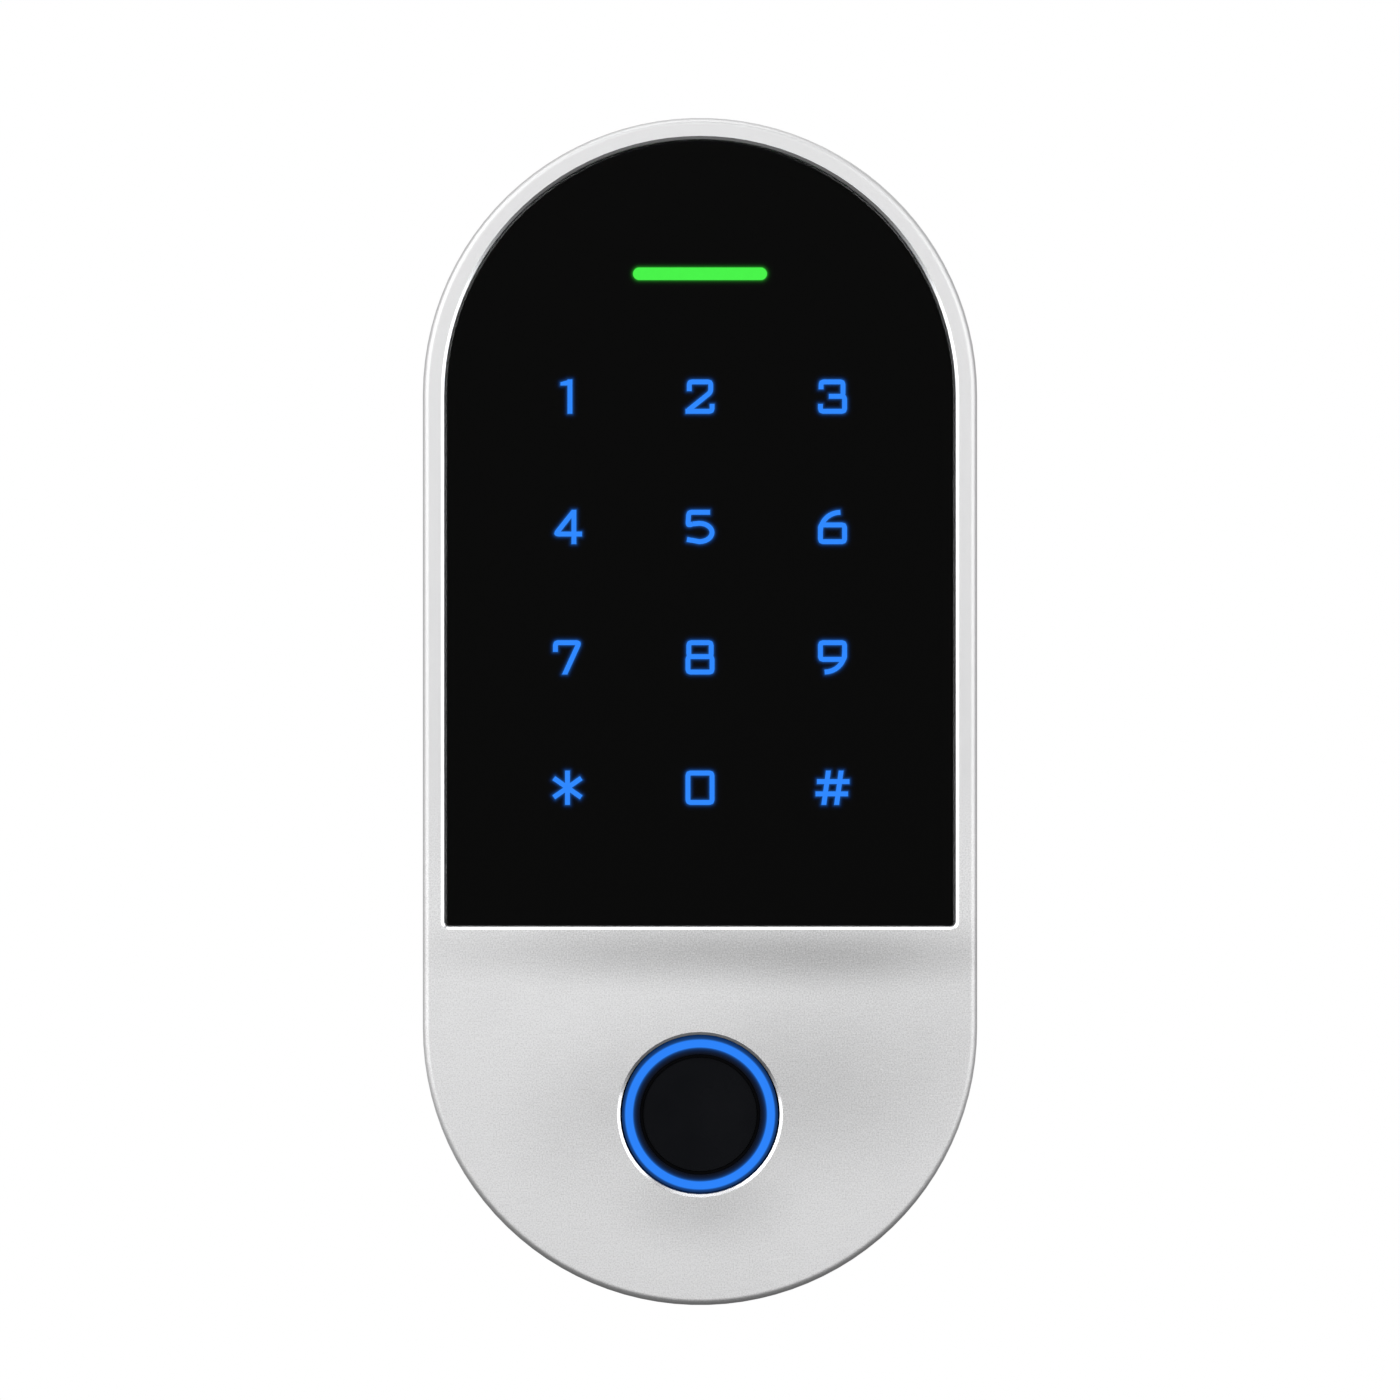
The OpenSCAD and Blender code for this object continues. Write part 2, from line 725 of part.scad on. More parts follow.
module power_inductor() {
    color("darkslategray") upright() {
        block([-6.5, main_bottom + 15], main_front, [7, 7, 0.5]);
        bar([-6.5, main_bottom + 15], 3.3, main_front + 0.5 - lap, main_front + 3.4);
    }
}

// Wire socket that opens down towards the cable grommet
module cable_header() {
    color("ivory") upright() difference() {
        block(header_place, main_front, header_size);
        translate([header_place.x - header_size.x / 2 + 0.8, header_place.y - header_size.y / 2 - lap,
            main_front + 0.8])
            cube([header_size.x - 1.6, header_size.y - 1.2, header_size.z - 1.6]);
    }
}

module tamper_switch() {
    color("black") upright() difference() {
        block(tamper_place, main_rear - tamper_body.z, tamper_body);
        bar(tamper_place, collar_r + 2 * hole_gap, main_rear - tamper_body.z - lap, main_rear - 0.4);
    }
}

module tamper_plunger() {
    color("white") upright() {
        bar(tamper_place, plunger_r, plunger_rear, collar_rear + lap);
        bar(tamper_place, collar_r, collar_rear, collar_rear + collar_t);
    }
}

module sensor_disc() {
    color("#202124") upright() translate([0, sensor_up, 0]) {
        bar([0, 0], disc_r, disc_front - disc_t, disc_front);
        bar([0, 0], disc_r - 0.6, floor_front, disc_front - disc_t + lap);
    }
}

module light_ring() {
    color("deepskyblue") upright() level(floor_front, ring_front) translate([0, sensor_up]) difference() {
        circle(ring_r);
        circle(ring_inner_r);
    }
}

// Black cup: floor with light windows, a thin tube around the disc, and a flange behind the wall
module sensor_housing() {
    color("#101114") upright() translate([0, sensor_up, 0]) difference() {
        rotate_extrude() {
            translate([tube_inner_r - 2, flange_rear])
                square([flange_r - tube_inner_r + 2, floor_front - flange_rear]);
            translate([ring_r + slide_gap / 2, flange_rear]) square([flange_w - slide_gap / 2, flange_t]);
            translate([tube_inner_r, flange_rear]) square([tube_t, ring_front - flange_rear]);
        }
        for (i = [0 : sensor_led_count - 1]) rotate(i * 360 / sensor_led_count)
            bar([sensor_led_reach, 0], 0.85, flange_rear - lap, floor_front + lap);
    }
}

module sensor_seal() {
    color("dimgray") upright() level(flange_front, front_rear) translate([0, sensor_up]) difference() {
        circle(flange_r - 0.15);
        circle(sensor_hole_r + 0.25);
    }
}

module sensor_board() {
    color("darkgreen") upright() bar([0, sensor_up], sensor_board_r, sensor_board_rear, flange_rear);
}

module sensor_leds() {
    color("ivory") upright() translate([0, sensor_up, 0])
        for (i = [0 : sensor_led_count - 1]) rotate(i * 360 / sensor_led_count)
            block([sensor_led_reach, 0], flange_rear, [0.8, 1.2, 0.6]);
}

module sensor_bracket() {
    color("silver") upright() level(bracket_rear, flange_rear) translate([0, sensor_up]) difference() {
        union() {
            circle(flange_r + 0.7);
            square([2 * bracket_reach, 2 * post_r], center = true);
            for (side = [-1, 1]) translate([side * bracket_reach, 0]) circle(post_r);
        }
        circle(sensor_board_r + 0.3);
        for (side = [-1, 1]) translate([side * bracket_reach, 0]) circle(small_screw_r + hole_gap);
    }
}

module bracket_screws() {
    color("silver") upright() for (side = [-1, 1])
        pan_screw([side * bracket_reach, sensor_up], bracket_rear - small_head_t, front_rear - 0.4);
}

module ribbon_plug() {
    color("ivory") upright() block([0, ribbon_plug_up], sensor_board_rear - ribbon_plug.z, ribbon_plug);
}

module ribbon_socket() {
    color("ivory") upright() block([0, main_bottom + ribbon_socket.y / 2], main_front, ribbon_socket);
}

// Flat ribbon from the sensor board up to the main board, as a side profile
module ribbon_cable() {
    start_up = ribbon_plug_up + ribbon_plug.y / 2;
    start_depth = sensor_board_rear - ribbon_plug.z / 2;
    end_depth = main_front + ribbon_socket.z / 2;
    color("white") upright() across(ribbon_w)
        stroke(bent([[start_up, start_depth], [start_up + 5, start_depth],
            [main_bottom - 5, end_depth], [main_bottom, end_depth]], 2), ribbon_t);
}

module cover_seal() {
    color("dimgray") upright() level(cover_front, land_depth) difference() {
        pill_2d(cover_r);
        pill_2d(cavity_r + 0.2);
    }
}

module rear_cover() {
    color("#2b2c2e") upright() difference() {
        level(cover_rear, cover_front) difference() {
            pill_2d(cover_r);
            for (place = cover_screw_places) translate(place) circle(cover_screw_r + hole_gap);
            translate([0, grommet_up]) circle(grommet_body_r + slide_gap);
            translate(tamper_place) circle(plunger_r + hole_gap);
        }
        for (place = cover_screw_places)
            translate([place.x, place.y, cover_rear - lap])
                cylinder(r1 = cover_head_r + hole_gap + lap, r2 = cover_screw_r + hole_gap,
                    h = cover_head_t + lap);
    }
}

module cover_screws() {
    color("silver") upright() for (place = cover_screw_places)
        translate([place.x, place.y, 0]) difference() {
            union() {
                translate([0, 0, cover_rear])
                    cylinder(r1 = cover_head_r, r2 = cover_screw_r, h = cover_head_t);
                bar([0, 0], cover_screw_r, cover_rear, cover_front + cover_screw_depth);
            }
            cross_recess(cover_rear - lap, drive_depth);
        }
}

module cable_grommet() {
    color("#1a1a1a") upright() translate([0, grommet_up, 0]) rotate_extrude()
        polygon([[grommet_bore_r, cover_rear - 1.2], [grommet_flange_r - 0.4, cover_rear - 1.2],
            [grommet_flange_r, cover_rear - 0.8], [grommet_flange_r, cover_rear],
            [grommet_body_r, cover_rear], [grommet_body_r, cover_front],
            [grommet_flange_r, cover_front], [grommet_flange_r, cover_front + 0.8],
            [grommet_bore_r, cover_front + 0.8]]);
}

// Headless screw with a socket in its lower end and a pointed upper end
module lock_screw() {
    start = -case_top + lock_recess;
    color("silver") upright() translate([0, start, lock_depth]) rotate([-90, 0, 0]) difference() {
        union() {
            cylinder(r = lock_r, h = lock_length - lock_tip);
            translate([0, 0, lock_length - lock_tip - lap])
                cylinder(r1 = lock_r, r2 = lock_r - lock_tip, h = lock_tip + lap);
        }
        translate([0, 0, -lap]) cylinder(r = lock_socket_r, h = lock_socket_depth, $fn = 6);
    }
}

wall_plate();
lock_strap();
front_case();
touch_lens();
lens_adhesive();
legend_film();
for (key = KEYS)
    legend(key);
status_light_bar();
light_guide();
keypad_board();
key_leds();
status_leds();
touch_controller();
board_plug();
board_socket();
board_standoffs();
main_board();
board_screws();
processor();
door_relay();
buzzer();
capacitors();
power_inductor();
cable_header();
tamper_switch();
tamper_plunger();
sensor_disc();
light_ring();
sensor_housing();
sensor_seal();
sensor_board();
sensor_leds();
sensor_bracket();
bracket_screws();
ribbon_plug();
ribbon_cable();
ribbon_socket();
cover_seal();
rear_cover();
cover_screws();
cable_grommet();
lock_screw();
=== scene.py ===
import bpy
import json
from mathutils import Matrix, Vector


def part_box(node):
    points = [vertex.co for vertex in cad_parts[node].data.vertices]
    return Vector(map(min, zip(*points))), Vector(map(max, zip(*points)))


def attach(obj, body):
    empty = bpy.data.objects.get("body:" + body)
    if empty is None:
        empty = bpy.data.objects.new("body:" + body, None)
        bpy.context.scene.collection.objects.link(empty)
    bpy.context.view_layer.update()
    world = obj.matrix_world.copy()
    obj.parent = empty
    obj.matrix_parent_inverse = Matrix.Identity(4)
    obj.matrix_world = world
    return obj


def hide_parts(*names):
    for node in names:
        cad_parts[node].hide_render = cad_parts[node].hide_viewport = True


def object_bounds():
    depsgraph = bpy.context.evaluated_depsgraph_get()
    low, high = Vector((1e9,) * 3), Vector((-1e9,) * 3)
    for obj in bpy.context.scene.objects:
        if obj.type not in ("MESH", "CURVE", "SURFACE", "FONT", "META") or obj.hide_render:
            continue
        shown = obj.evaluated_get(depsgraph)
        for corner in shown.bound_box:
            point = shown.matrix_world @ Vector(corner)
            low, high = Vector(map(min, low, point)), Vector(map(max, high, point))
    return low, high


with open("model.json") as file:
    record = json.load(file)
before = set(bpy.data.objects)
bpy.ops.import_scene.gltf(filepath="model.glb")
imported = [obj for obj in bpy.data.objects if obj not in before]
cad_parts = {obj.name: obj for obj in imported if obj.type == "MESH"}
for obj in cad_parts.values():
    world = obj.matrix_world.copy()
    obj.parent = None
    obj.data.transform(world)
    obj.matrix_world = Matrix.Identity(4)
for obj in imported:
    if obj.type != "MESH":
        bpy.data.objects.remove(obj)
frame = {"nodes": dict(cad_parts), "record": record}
CAD_BOX = [list(corner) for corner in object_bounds()]

import json
import math

import bmesh
import bpy
from bpy.props import FloatProperty, FloatVectorProperty, IntProperty, PointerProperty
from bpy.types import Operator, Panel, PropertyGroup
from mathutils import Matrix, Vector
from mathutils.bvhtree import BVHTree

bl_info = {
    "name": "Fingerprint terminal",
    "version": (1, 0, 0),
    "blender": (4, 5, 0),
    "location": "3D View > Sidebar > Terminal",
    "description": "Finishes, lit legends, fasteners and stage of a wall-mounted fingerprint terminal",
    "category": "Object",
}

MM = 0.001
# Vertices closer than this are one
WELD = 1e-7
CASE_HIGH = Vector(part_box("front_case")[1])
# In millimetres: height of the middle of the case's round ends, and reach of the rim's inner edge from there
END_UP = (CASE_HIGH.z - CASE_HIGH.x) / MM
RIM_INSIDE = (CASE_HIGH.x - 1.4 * MM) / MM
# Heights between which the case's metal goes from plain to rubbed and painted with shade, in millimetres
PLAIN_ABOVE, RUBBED_AND_SHADED_BELOW = -4.0, -22.0
# Painted shade on the lower metal, darker places that stand in for its uneven reflection: middle and half
# sizes in millimetres, and how dark
PAINTED_SHADE_SPOTS = (
    ((4, -26.0), (44, 5.0), 0.53),
    ((16, -27.5), (16, 5.0), 0.14),
    ((30, -34.0), (26, 22), 0.14),
    ((9, -41.0), (24, 15), 0.30),
    ((-11, -43.0), (15, 12), 0.18),
    ((0, -53.5), (13, 6.5), 0.28),
)
# Scratches in the rubbed metal: middle, half length and half width in millimetres, slope in degrees, strength
SCRATCHES = (
    ((8.4, -59.2), (2.9, 0.09), 10.5, 0.8),
    ((7.2, -57.5), (2.4, 0.08), 20, 0.5),
    ((13.0, -59.55), (0.6, 0.08), -27, 0.6),
    ((8.2, -60.55), (0.55, 0.1), -41, 0.8),
    ((-4.1, -61.1), (1.3, 0.09), 19, 0.5),
    ((19.6, -38.7), (0.16, 0.13), 0, 1.0),
    ((-6.4, -52.6), (0.2, 0.12), 30, 0.8),
)
# Colours of the case's rubbed edges, cut chamfers and dust, and how far the chamfers' normals lean
WORN_TONE = (0.95, 0.95, 0.955)
CUT_TONE = (0.76, 0.765, 0.78)
DUST_TONE = (0.55, 0.55, 0.56)
CUT_LEAN = 0.45
# The light ring's inner and outer radius in millimetres, and its brightness from the inner to the outer edge
RING_RADII = (6.5, 8.5)
RING_STOPS = (
    (0.0, 0.003), (0.05, 0.006), (0.10, 0.013), (0.155, 0.027), (0.21, 0.048), (0.265, 0.10), (0.32, 0.19),
    (0.37, 0.55), (0.40, 1.0), (0.765, 1.0), (0.80, 0.7), (0.845, 0.27), (0.90, 0.17), (0.97, 0.12),
    (1.0, 0.10),
)
# Moulded plastics: slot, colour, roughness, size of the grain in millimetres and its depth, other settings
PLASTICS = (
    ("white_plastic", (0.78, 0.77, 0.72), 0.45, 0.3, 0.15, {}),
    ("black_plastic", (0.0010, 0.0010, 0.0014), 0.3, 0.25, 0.1, {"Specular_IOR_Level": 0.05}),
    ("cover_plastic", (0.03, 0.03, 0.033), 0.5, 0.35, 0.6, {"wear": 0.6}),
    ("relay_orange", (0.85, 0.28, 0.02), 0.35, 0.3, 0.1, {}),
    ("led_white", (0.85, 0.80, 0.58), 0.3, 0.5, 0.05, {}),
    ("chip_black", (0.025, 0.025, 0.027), 0.55, 0.12, 0.35, {}),
)
# A screw's plain neck between its head and its thread, and how much smaller a cross recess is at its bottom
NECK = 0.1 * MM
CROSS_TAPER = 0.72
# The halo sheets stand this far inside the glass
HALO_GAP = 0.02 * MM
# Lights that aim at the front: name, place, size, the setting of their power and their share of it
FRONT_LIGHTS = (
    ("key_light", (-0.46, -0.56, 0.14), (0.75, 0.75), "key_power", 1.0),
    ("fill_light", (0.46, -0.56, 0.10), (0.75, 0.75), "fill_power", 1.0),
    ("top_light", (0.0, -0.22, 0.58), (0.6, 0.30), "top_power", 1.0),
    ("corner_light", (-0.40, -0.30, 0.42), (0.25, 0.25), "corner_power", 1.0),
    ("left_strip", (-0.5, -0.005, 0), (0.05, 0.5), "strip_power", 1.0),
    ("right_strip", (0.5, -0.005, 0), (0.05, 0.5), "strip_power", 0.6),
)
FLOOR_RADIUS = 1.2
# The camera's sensor, in millimetres
SENSOR_WIDTH = 36.0
NODES = frame["nodes"]
LEGENDS = [name for name in NODES if name.startswith("legend_") and name != "legend_film"]


# ---- sizes and colours a user would change ----

class CaseFinish(PropertyGroup):
    tone: FloatVectorProperty(name="Metal tone", description="Colour of the blasted metal", subtype="COLOR",
                              size=3, min=0, max=1, default=(0.80, 0.80, 0.805))
    roughness: FloatProperty(name="Roughness", description="How matt the blasting leaves the metal",
                             subtype="FACTOR", min=0, max=1, default=0.5)
    grain: FloatProperty(name="Grain", description="Size of the blasting's grain in millimetres", min=0.05,
                         max=1, default=0.16)
    cloud: FloatProperty(name="Cloud", description="Size of the soft cloudy patches in millimetres", min=2,
                         max=60, default=18)
    wear: FloatProperty(name="Edge wear", description="How far edges are rubbed bright", subtype="FACTOR",
                        min=0, max=1, default=0.5)


class LightFinish(PropertyGroup):
    legend: FloatVectorProperty(name="Legend light", description="Colour of the lit keys", subtype="COLOR",
                                size=3, min=0, max=1, default=(0.026, 0.238, 0.99))
    bar: FloatVectorProperty(name="Status light", description="Colour of the status bar", subtype="COLOR",
                             size=3, min=0, max=1, default=(0.063, 0.855, 0.065))
    ring: FloatVectorProperty(name="Ring light", description="Colour of the sensor's ring", subtype="COLOR",
                              size=3, min=0, max=1, default=(0.022, 0.223, 0.95))
    level: FloatProperty(name="Level", description="Brightness of the legends behind the glass", min=0, max=5,
                         default=1.09)
    halo_margin: FloatProperty(name="Halo margin", description="How far a halo's sheet runs past its legend",
                               unit="LENGTH", subtype="DISTANCE", default=0.8 * MM)
    halo_cell: FloatProperty(name="Halo cell", description="Mesh size of the halo's sheet", unit="LENGTH",
                             subtype="DISTANCE", default=0.16 * MM)
    halo_spread: FloatProperty(name="Halo spread", min=0.01, max=1, default=0.105,
                               description="Distance over which the halo fades, in millimetres")
    halo_level: FloatProperty(name="Halo level", description="Strength of the halo beside a stroke",
                              subtype="FACTOR", min=0, max=1, default=0.36)


class ScrewShape(PropertyGroup):
    pitch: FloatProperty(name="Thread pitch", description="Distance between two turns of the thread",
                         unit="LENGTH", subtype="DISTANCE", default=0.5 * MM)
    depth: FloatProperty(name="Thread depth", description="Depth of the thread's groove", unit="LENGTH",
                         subtype="DISTANCE", default=0.2 * MM)
    cross_reach: FloatProperty(name="Cross reach", unit="LENGTH", subtype="DISTANCE", default=1.3 * MM,
                               description="From the middle to the end of a cross recess's arm")
    cross_width: FloatProperty(name="Cross width", description="Width of a cross recess's arm", unit="LENGTH",
                               subtype="DISTANCE", default=0.5 * MM)
    cross_depth: FloatProperty(name="Cross depth", description="Depth of a cross recess", unit="LENGTH",
                               subtype="DISTANCE", default=0.6 * MM)
    socket_reach: FloatProperty(name="Socket reach", unit="LENGTH", subtype="DISTANCE", default=0.85 * MM,
                                description="From the middle to a corner of the hex socket")
    socket_depth: FloatProperty(name="Socket depth", description="Depth of the hex socket", unit="LENGTH",
                                subtype="DISTANCE", default=1.6 * MM)
    pan_height: FloatProperty(name="Pan head height", unit="LENGTH", subtype="DISTANCE", default=1.3 * MM,
                              description="Height of the board and bracket screws' heads")
    sunk_height: FloatProperty(name="Sunk head height", unit="LENGTH", subtype="DISTANCE", default=1.2 * MM,
                               description="Height of the rear cover screws' heads")
    steps: IntProperty(name="Steps", description="Steps round a turned piece", min=16, max=96, default=36)


class StageSetting(PropertyGroup):
    distance: FloatProperty(name="Camera distance", description="From the front face to the camera",
                            unit="LENGTH", subtype="DISTANCE", default=0.8)
    width: FloatProperty(name="View width", description="Width that the camera takes in at the front face",
                         unit="LENGTH", subtype="DISTANCE", default=151.4 * MM)
    rise: FloatProperty(name="Camera rise", unit="LENGTH", subtype="DISTANCE", default=1.24 * MM,
                        description="Height of the view's middle above the object's middle")
    floor_drop: FloatProperty(name="Floor drop", description="Distance from the object down to the floor",
                              unit="LENGTH", subtype="DISTANCE", default=0.6)
    key_power: FloatProperty(name="Key light", description="Power of the large light at the front left",
                             unit="POWER", default=3.3)
    strip_power: FloatProperty(name="Strip light", unit="POWER", default=0.06,
                               description="Power of the narrow light at the left; the right one is weaker")
    fill_power: FloatProperty(name="Fill light", description="Power of the large light at the front right",
                              unit="POWER", default=3.1)
    top_power: FloatProperty(name="Top light", description="Power of the light from above", unit="POWER",
                             default=1.0)
    rear_power: FloatProperty(name="Rear light", description="Power of the light behind the terminal",
                              unit="POWER", default=2.2)
    corner_power: FloatProperty(name="Corner light", description="Power of the small light high at the left",
                                unit="POWER", default=0.3)


# ---- node helpers ----

def put(tree, kind, inputs=None, **settings):
    """Adds a node, sets its own settings and its inputs, and links the inputs that are sockets."""
    node = tree.nodes.new(kind)
    for name, value in settings.items():
        setattr(node, name, value)
    for name, value in (inputs or {}).items():
        socket = node.inputs[name]
        if isinstance(value, bpy.types.NodeSocket):
            tree.links.new(value, socket)
        else:
            socket.default_value = value
    return node


def calc(tree, operation, first, second=0.5, clamp=False):
    return put(tree, "ShaderNodeMath", {0: first, 1: second}, operation=operation, use_clamp=clamp).outputs[0]


def times(tree, first, second, clamp=False):
    return calc(tree, "MULTIPLY", first, second, clamp)


def plus(tree, first, second):
    return calc(tree, "ADD", first, second)


def split(tree, vector):
    return put(tree, "ShaderNodeSeparateXYZ", {0: vector}).outputs


def length_of(tree, vector):
    return put(tree, "ShaderNodeVectorMath", {0: vector}, operation="LENGTH").outputs["Value"]


def ranged(tree, value, low, high, to_low=0.0, to_high=1.0):
    return put(tree, "ShaderNodeMapRange", {"Value": value, "From Min": low, "From Max": high,
                                            "To Min": to_low, "To Max": to_high}).outputs["Result"]


def noise(tree, where, scale, detail=2.0, roughness=0.5):
    return put(tree, "ShaderNodeTexNoise", {"Vector": where, "Scale": scale, "Detail": detail,
                                            "Roughness": roughness}).outputs["Fac"]


def smooth(tree, value, low, high):
    """0 at low, 1 at high, easing in and out."""
    return put(tree, "ShaderNodeMapRange", {"Value": value, "From Min": low, "From Max": high},
               interpolation_type="SMOOTHSTEP").outputs["Result"]


def placed(tree, where, scale=(1, 1, 1), turn=(0, 0, 0), shift=(0, 0, 0)):
    return put(tree, "ShaderNodeMapping", {"Vector": where, "Scale": scale, "Rotation": turn,
                                           "Location": shift}).outputs["Vector"]


def shaded(colour, factor, lift=0.0):
    """The colour made darker or lighter."""
    return [min(1, c * factor + lift) for c in colour]


def blended(tree, share, low, high):
    """A colour between low and high."""
    node = put(tree, "ShaderNodeMix", data_type="RGBA")
    for socket, value in ((node.inputs[0], share), (node.inputs[6], low), (node.inputs[7], high)):
        if isinstance(value, bpy.types.NodeSocket):
            tree.links.new(value, socket)
        else:
            socket.default_value = value if socket.type == "VALUE" else (*value, 1)
    return node.outputs[2]


def group(name, inputs, outputs, fill):
    """A shader node group: inputs are (name, type, default), outputs (name, type).

    fill draws it from its input sockets and returns the sockets of its outputs.
    """
    if name in bpy.data.node_groups:
        return bpy.data.node_groups[name]
    tree = bpy.data.node_groups.new(name, "ShaderNodeTree")
    for label, kind, default in inputs:
        socket = tree.interface.new_socket(name=label, in_out="INPUT", socket_type="NodeSocket" + kind)
        if default is not None:
            socket.default_value = default
    for label, kind in outputs:
        tree.interface.new_socket(name=label, in_out="OUTPUT", socket_type="NodeSocket" + kind)
    entry = tree.nodes.new("NodeGroupInput")
    leave = tree.nodes.new("NodeGroupOutput")
    for label, socket in fill(tree, entry.outputs).items():
        tree.links.new(socket, leave.inputs[label])
    return tree


def use(tree, node_tree, **inputs):
    node = tree.nodes.new("ShaderNodeGroup")
    node.node_tree = node_tree
    for name, value in inputs.items():
        socket = node.inputs[name.replace("_", " ")]
        if isinstance(value, bpy.types.NodeSocket):
            tree.links.new(value, socket)
        else:
            socket.default_value = value
    return node.outputs


def finish(name, colour, roughness, metallic=0.0, **sockets):
    """A material with one Principled shader; returns it, its tree, shader and place in millimetres."""
    material = bpy.data.materials.new(name)
    material.use_nodes = True
    tree = material.node_tree
    tree.nodes.clear()
    shader = put(tree, "ShaderNodeBsdfPrincipled", {"Base Color": (*colour, 1), "Roughness": roughness,
                                                    "Metallic": metallic})
    for label, value in sockets.items():
        shader.inputs[label.replace("_", " ")].default_value = value
    put(tree, "ShaderNodeOutputMaterial", {"Surface": shader.outputs["BSDF"]})
    place = placed(tree, put(tree, "ShaderNodeTexCoord").outputs["Object"], scale=(1 / MM, 1 / MM, 1 / MM))
    return material, tree, shader, place


def feed(tree, shader, **sockets):
    for label, value in sockets.items():
        tree.links.new(value, shader.inputs[label.replace("_", " ")])


def bumped(tree, height, strength, distance):
    return put(tree, "ShaderNodeBump", {"Height": height, "Strength": strength,
                                        "Distance": distance}).outputs["Normal"]


# ---- effects that several finishes share ----

def blasted_grain():
    def fill(tree, entry):
        fine = noise(tree, entry["Place"], calc(tree, "DIVIDE", 1.0, entry["Grain"]), 3.0, 0.6)
        cloud = noise(tree, entry["Place"], calc(tree, "DIVIDE", 1.0, entry["Cloud"]), 3.0, 0.55)
        mottle = noise(tree, placed(tree, entry["Place"], shift=(40, 7, 3)), 0.55, 4.0, 0.6)
        tone = plus(tree, times(tree, cloud, 0.7), times(tree, mottle, 0.3))
        return {"Tone": ranged(tree, tone, 0.3, 0.7), "Height": fine,
                "Speckle": ranged(tree, fine, 0.25, 0.75)}
    return group("blasted grain",
                 [("Place", "Vector", None), ("Grain", "Float", 0.2), ("Cloud", "Float", 20.0)],
                 [("Tone", "Float"), ("Height", "Float"), ("Speckle", "Float")], fill)


def short_scratches():
    def fill(tree, entry):
        lines = None
        for turn, shift in ((0.5, 0), (-0.35, 31), (1.25, 57)):
            lay = placed(tree, entry["Place"], scale=(0.45, 1, 11), turn=(0, turn, 0),
                         shift=(shift, 0, shift))
            line = ranged(tree, noise(tree, lay, 1.0, 1.0), 0.735, 0.80)
            lines = line if lines is None else calc(tree, "MAXIMUM", lines, line)
        patch = ranged(tree, noise(tree, entry["Place"], 0.11, 1.0), 0.46, 0.6)
        return {"Mask": times(tree, times(tree, lines, patch), entry["Amount"], True)}
    return group("short scratches", [("Place", "Vector", None), ("Amount", "Float", 1.0)],
                 [("Mask", "Float")], fill)


def edge_wear():
    def fill(tree, entry):
        bevel = put(tree, "ShaderNodeBevel", {"Radius": entry["Width"]}, samples=6)
        true = put(tree, "ShaderNodeNewGeometry").outputs["Normal"]
        same = put(tree, "ShaderNodeVectorMath", {0: bevel.outputs["Normal"], 1: true},
                   operation="DOT_PRODUCT").outputs["Value"]
        edge = ranged(tree, same, 0.995, 0.86)
        rough = ranged(tree, noise(tree, entry["Place"], 1.1, 4.0, 0.7), 0.36, 0.62)
        return {"Mask": times(tree, times(tree, edge, rough), entry["Amount"], True)}
    return group("edge wear",
                 [("Place", "Vector", None), ("Width", "Float", 0.0002), ("Amount", "Float", 1.0)],
                 [("Mask", "Float")], fill)


def dust_specks():
    def fill(tree, entry):
        cells = put(tree, "ShaderNodeTexVoronoi", {"Vector": entry["Place"], "Scale": 0.9, "Randomness": 1.0})
        speck = ranged(tree, cells.outputs["Distance"], 0.06, 0.03)
        few = ranged(tree, noise(tree, entry["Place"], 0.5, 2.0), 0.55, 0.65)
        return {"Mask": times(tree, times(tree, speck, few), entry["Amount"], True)}
    return group("dust specks", [("Place", "Vector", None), ("Amount", "Float", 1.0)],
                 [("Mask", "Float")], fill)


def moulded_grain():
    def fill(tree, entry):
        cells = put(tree, "ShaderNodeTexVoronoi", {"Vector": entry["Place"],
                                                   "Scale": calc(tree, "DIVIDE", 1.0, entry["Grain"])},
                    feature="SMOOTH_F1")
        wide = noise(tree, entry["Place"], 0.16, 3.0)
        return {"Height": cells.outputs["Distance"], "Tone": ranged(tree, wide, 0.3, 0.7)}
    return group("moulded grain", [("Place", "Vector", None), ("Grain", "Float", 0.3)],
                 [("Height", "Float"), ("Tone", "Float")], fill)


def drawn_lines():
    def fill(tree, entry):
        fine = noise(tree, placed(tree, entry["Place"], scale=(9, 9, 0.35)), 1.0, 3.0)
        flow = noise(tree, entry["Place"], 0.09, 3.0)
        return {"Line": ranged(tree, fine, 0.3, 0.7), "Tone": ranged(tree, flow, 0.3, 0.7)}
    return group("drawn lines", [("Place", "Vector", None)], [("Line", "Float"), ("Tone", "Float")], fill)


def soft_glow():
    def fill(tree, entry):
        steps = calc(tree, "DIVIDE", entry["Distance"], entry["Spread"])
        fade = calc(tree, "POWER", math.e, times(tree, steps, -1.0))
        return {"Mask": times(tree, fade, entry["Level"], True)}
    return group("soft glow", [("Distance", "Float", 0.0), ("Spread", "Float", 0.1), ("Level", "Float", 0.4)],
                 [("Mask", "Float")], fill)


# ---- finishes of the record's material slots ----

def metal_finish(name, colour, roughness, grain, depth, wear):
    material, tree, shader, place = finish(name, colour, roughness, 1.0)
    blast = use(tree, blasted_grain(), Place=place, Grain=grain, Cloud=14.0)
    worn = use(tree, edge_wear(), Place=place, Amount=wear)["Mask"]
    marks = use(tree, short_scratches(), Place=place, Amount=0.4)["Mask"]
    base = blended(tree, blast["Tone"], shaded(colour, 0.93), colour)
    bright = blended(tree, calc(tree, "MAXIMUM", worn, marks), base, shaded(colour, 1.15, 0.03))
    feed(tree, shader, Base_Color=bright,
         Roughness=calc(tree, "SUBTRACT",
                        ranged(tree, blast["Speckle"], 0, 1, roughness - 0.05, roughness + 0.06),
                        times(tree, worn, 0.12)),
         Normal=bumped(tree, blast["Height"], depth, 0.00002))
    return material


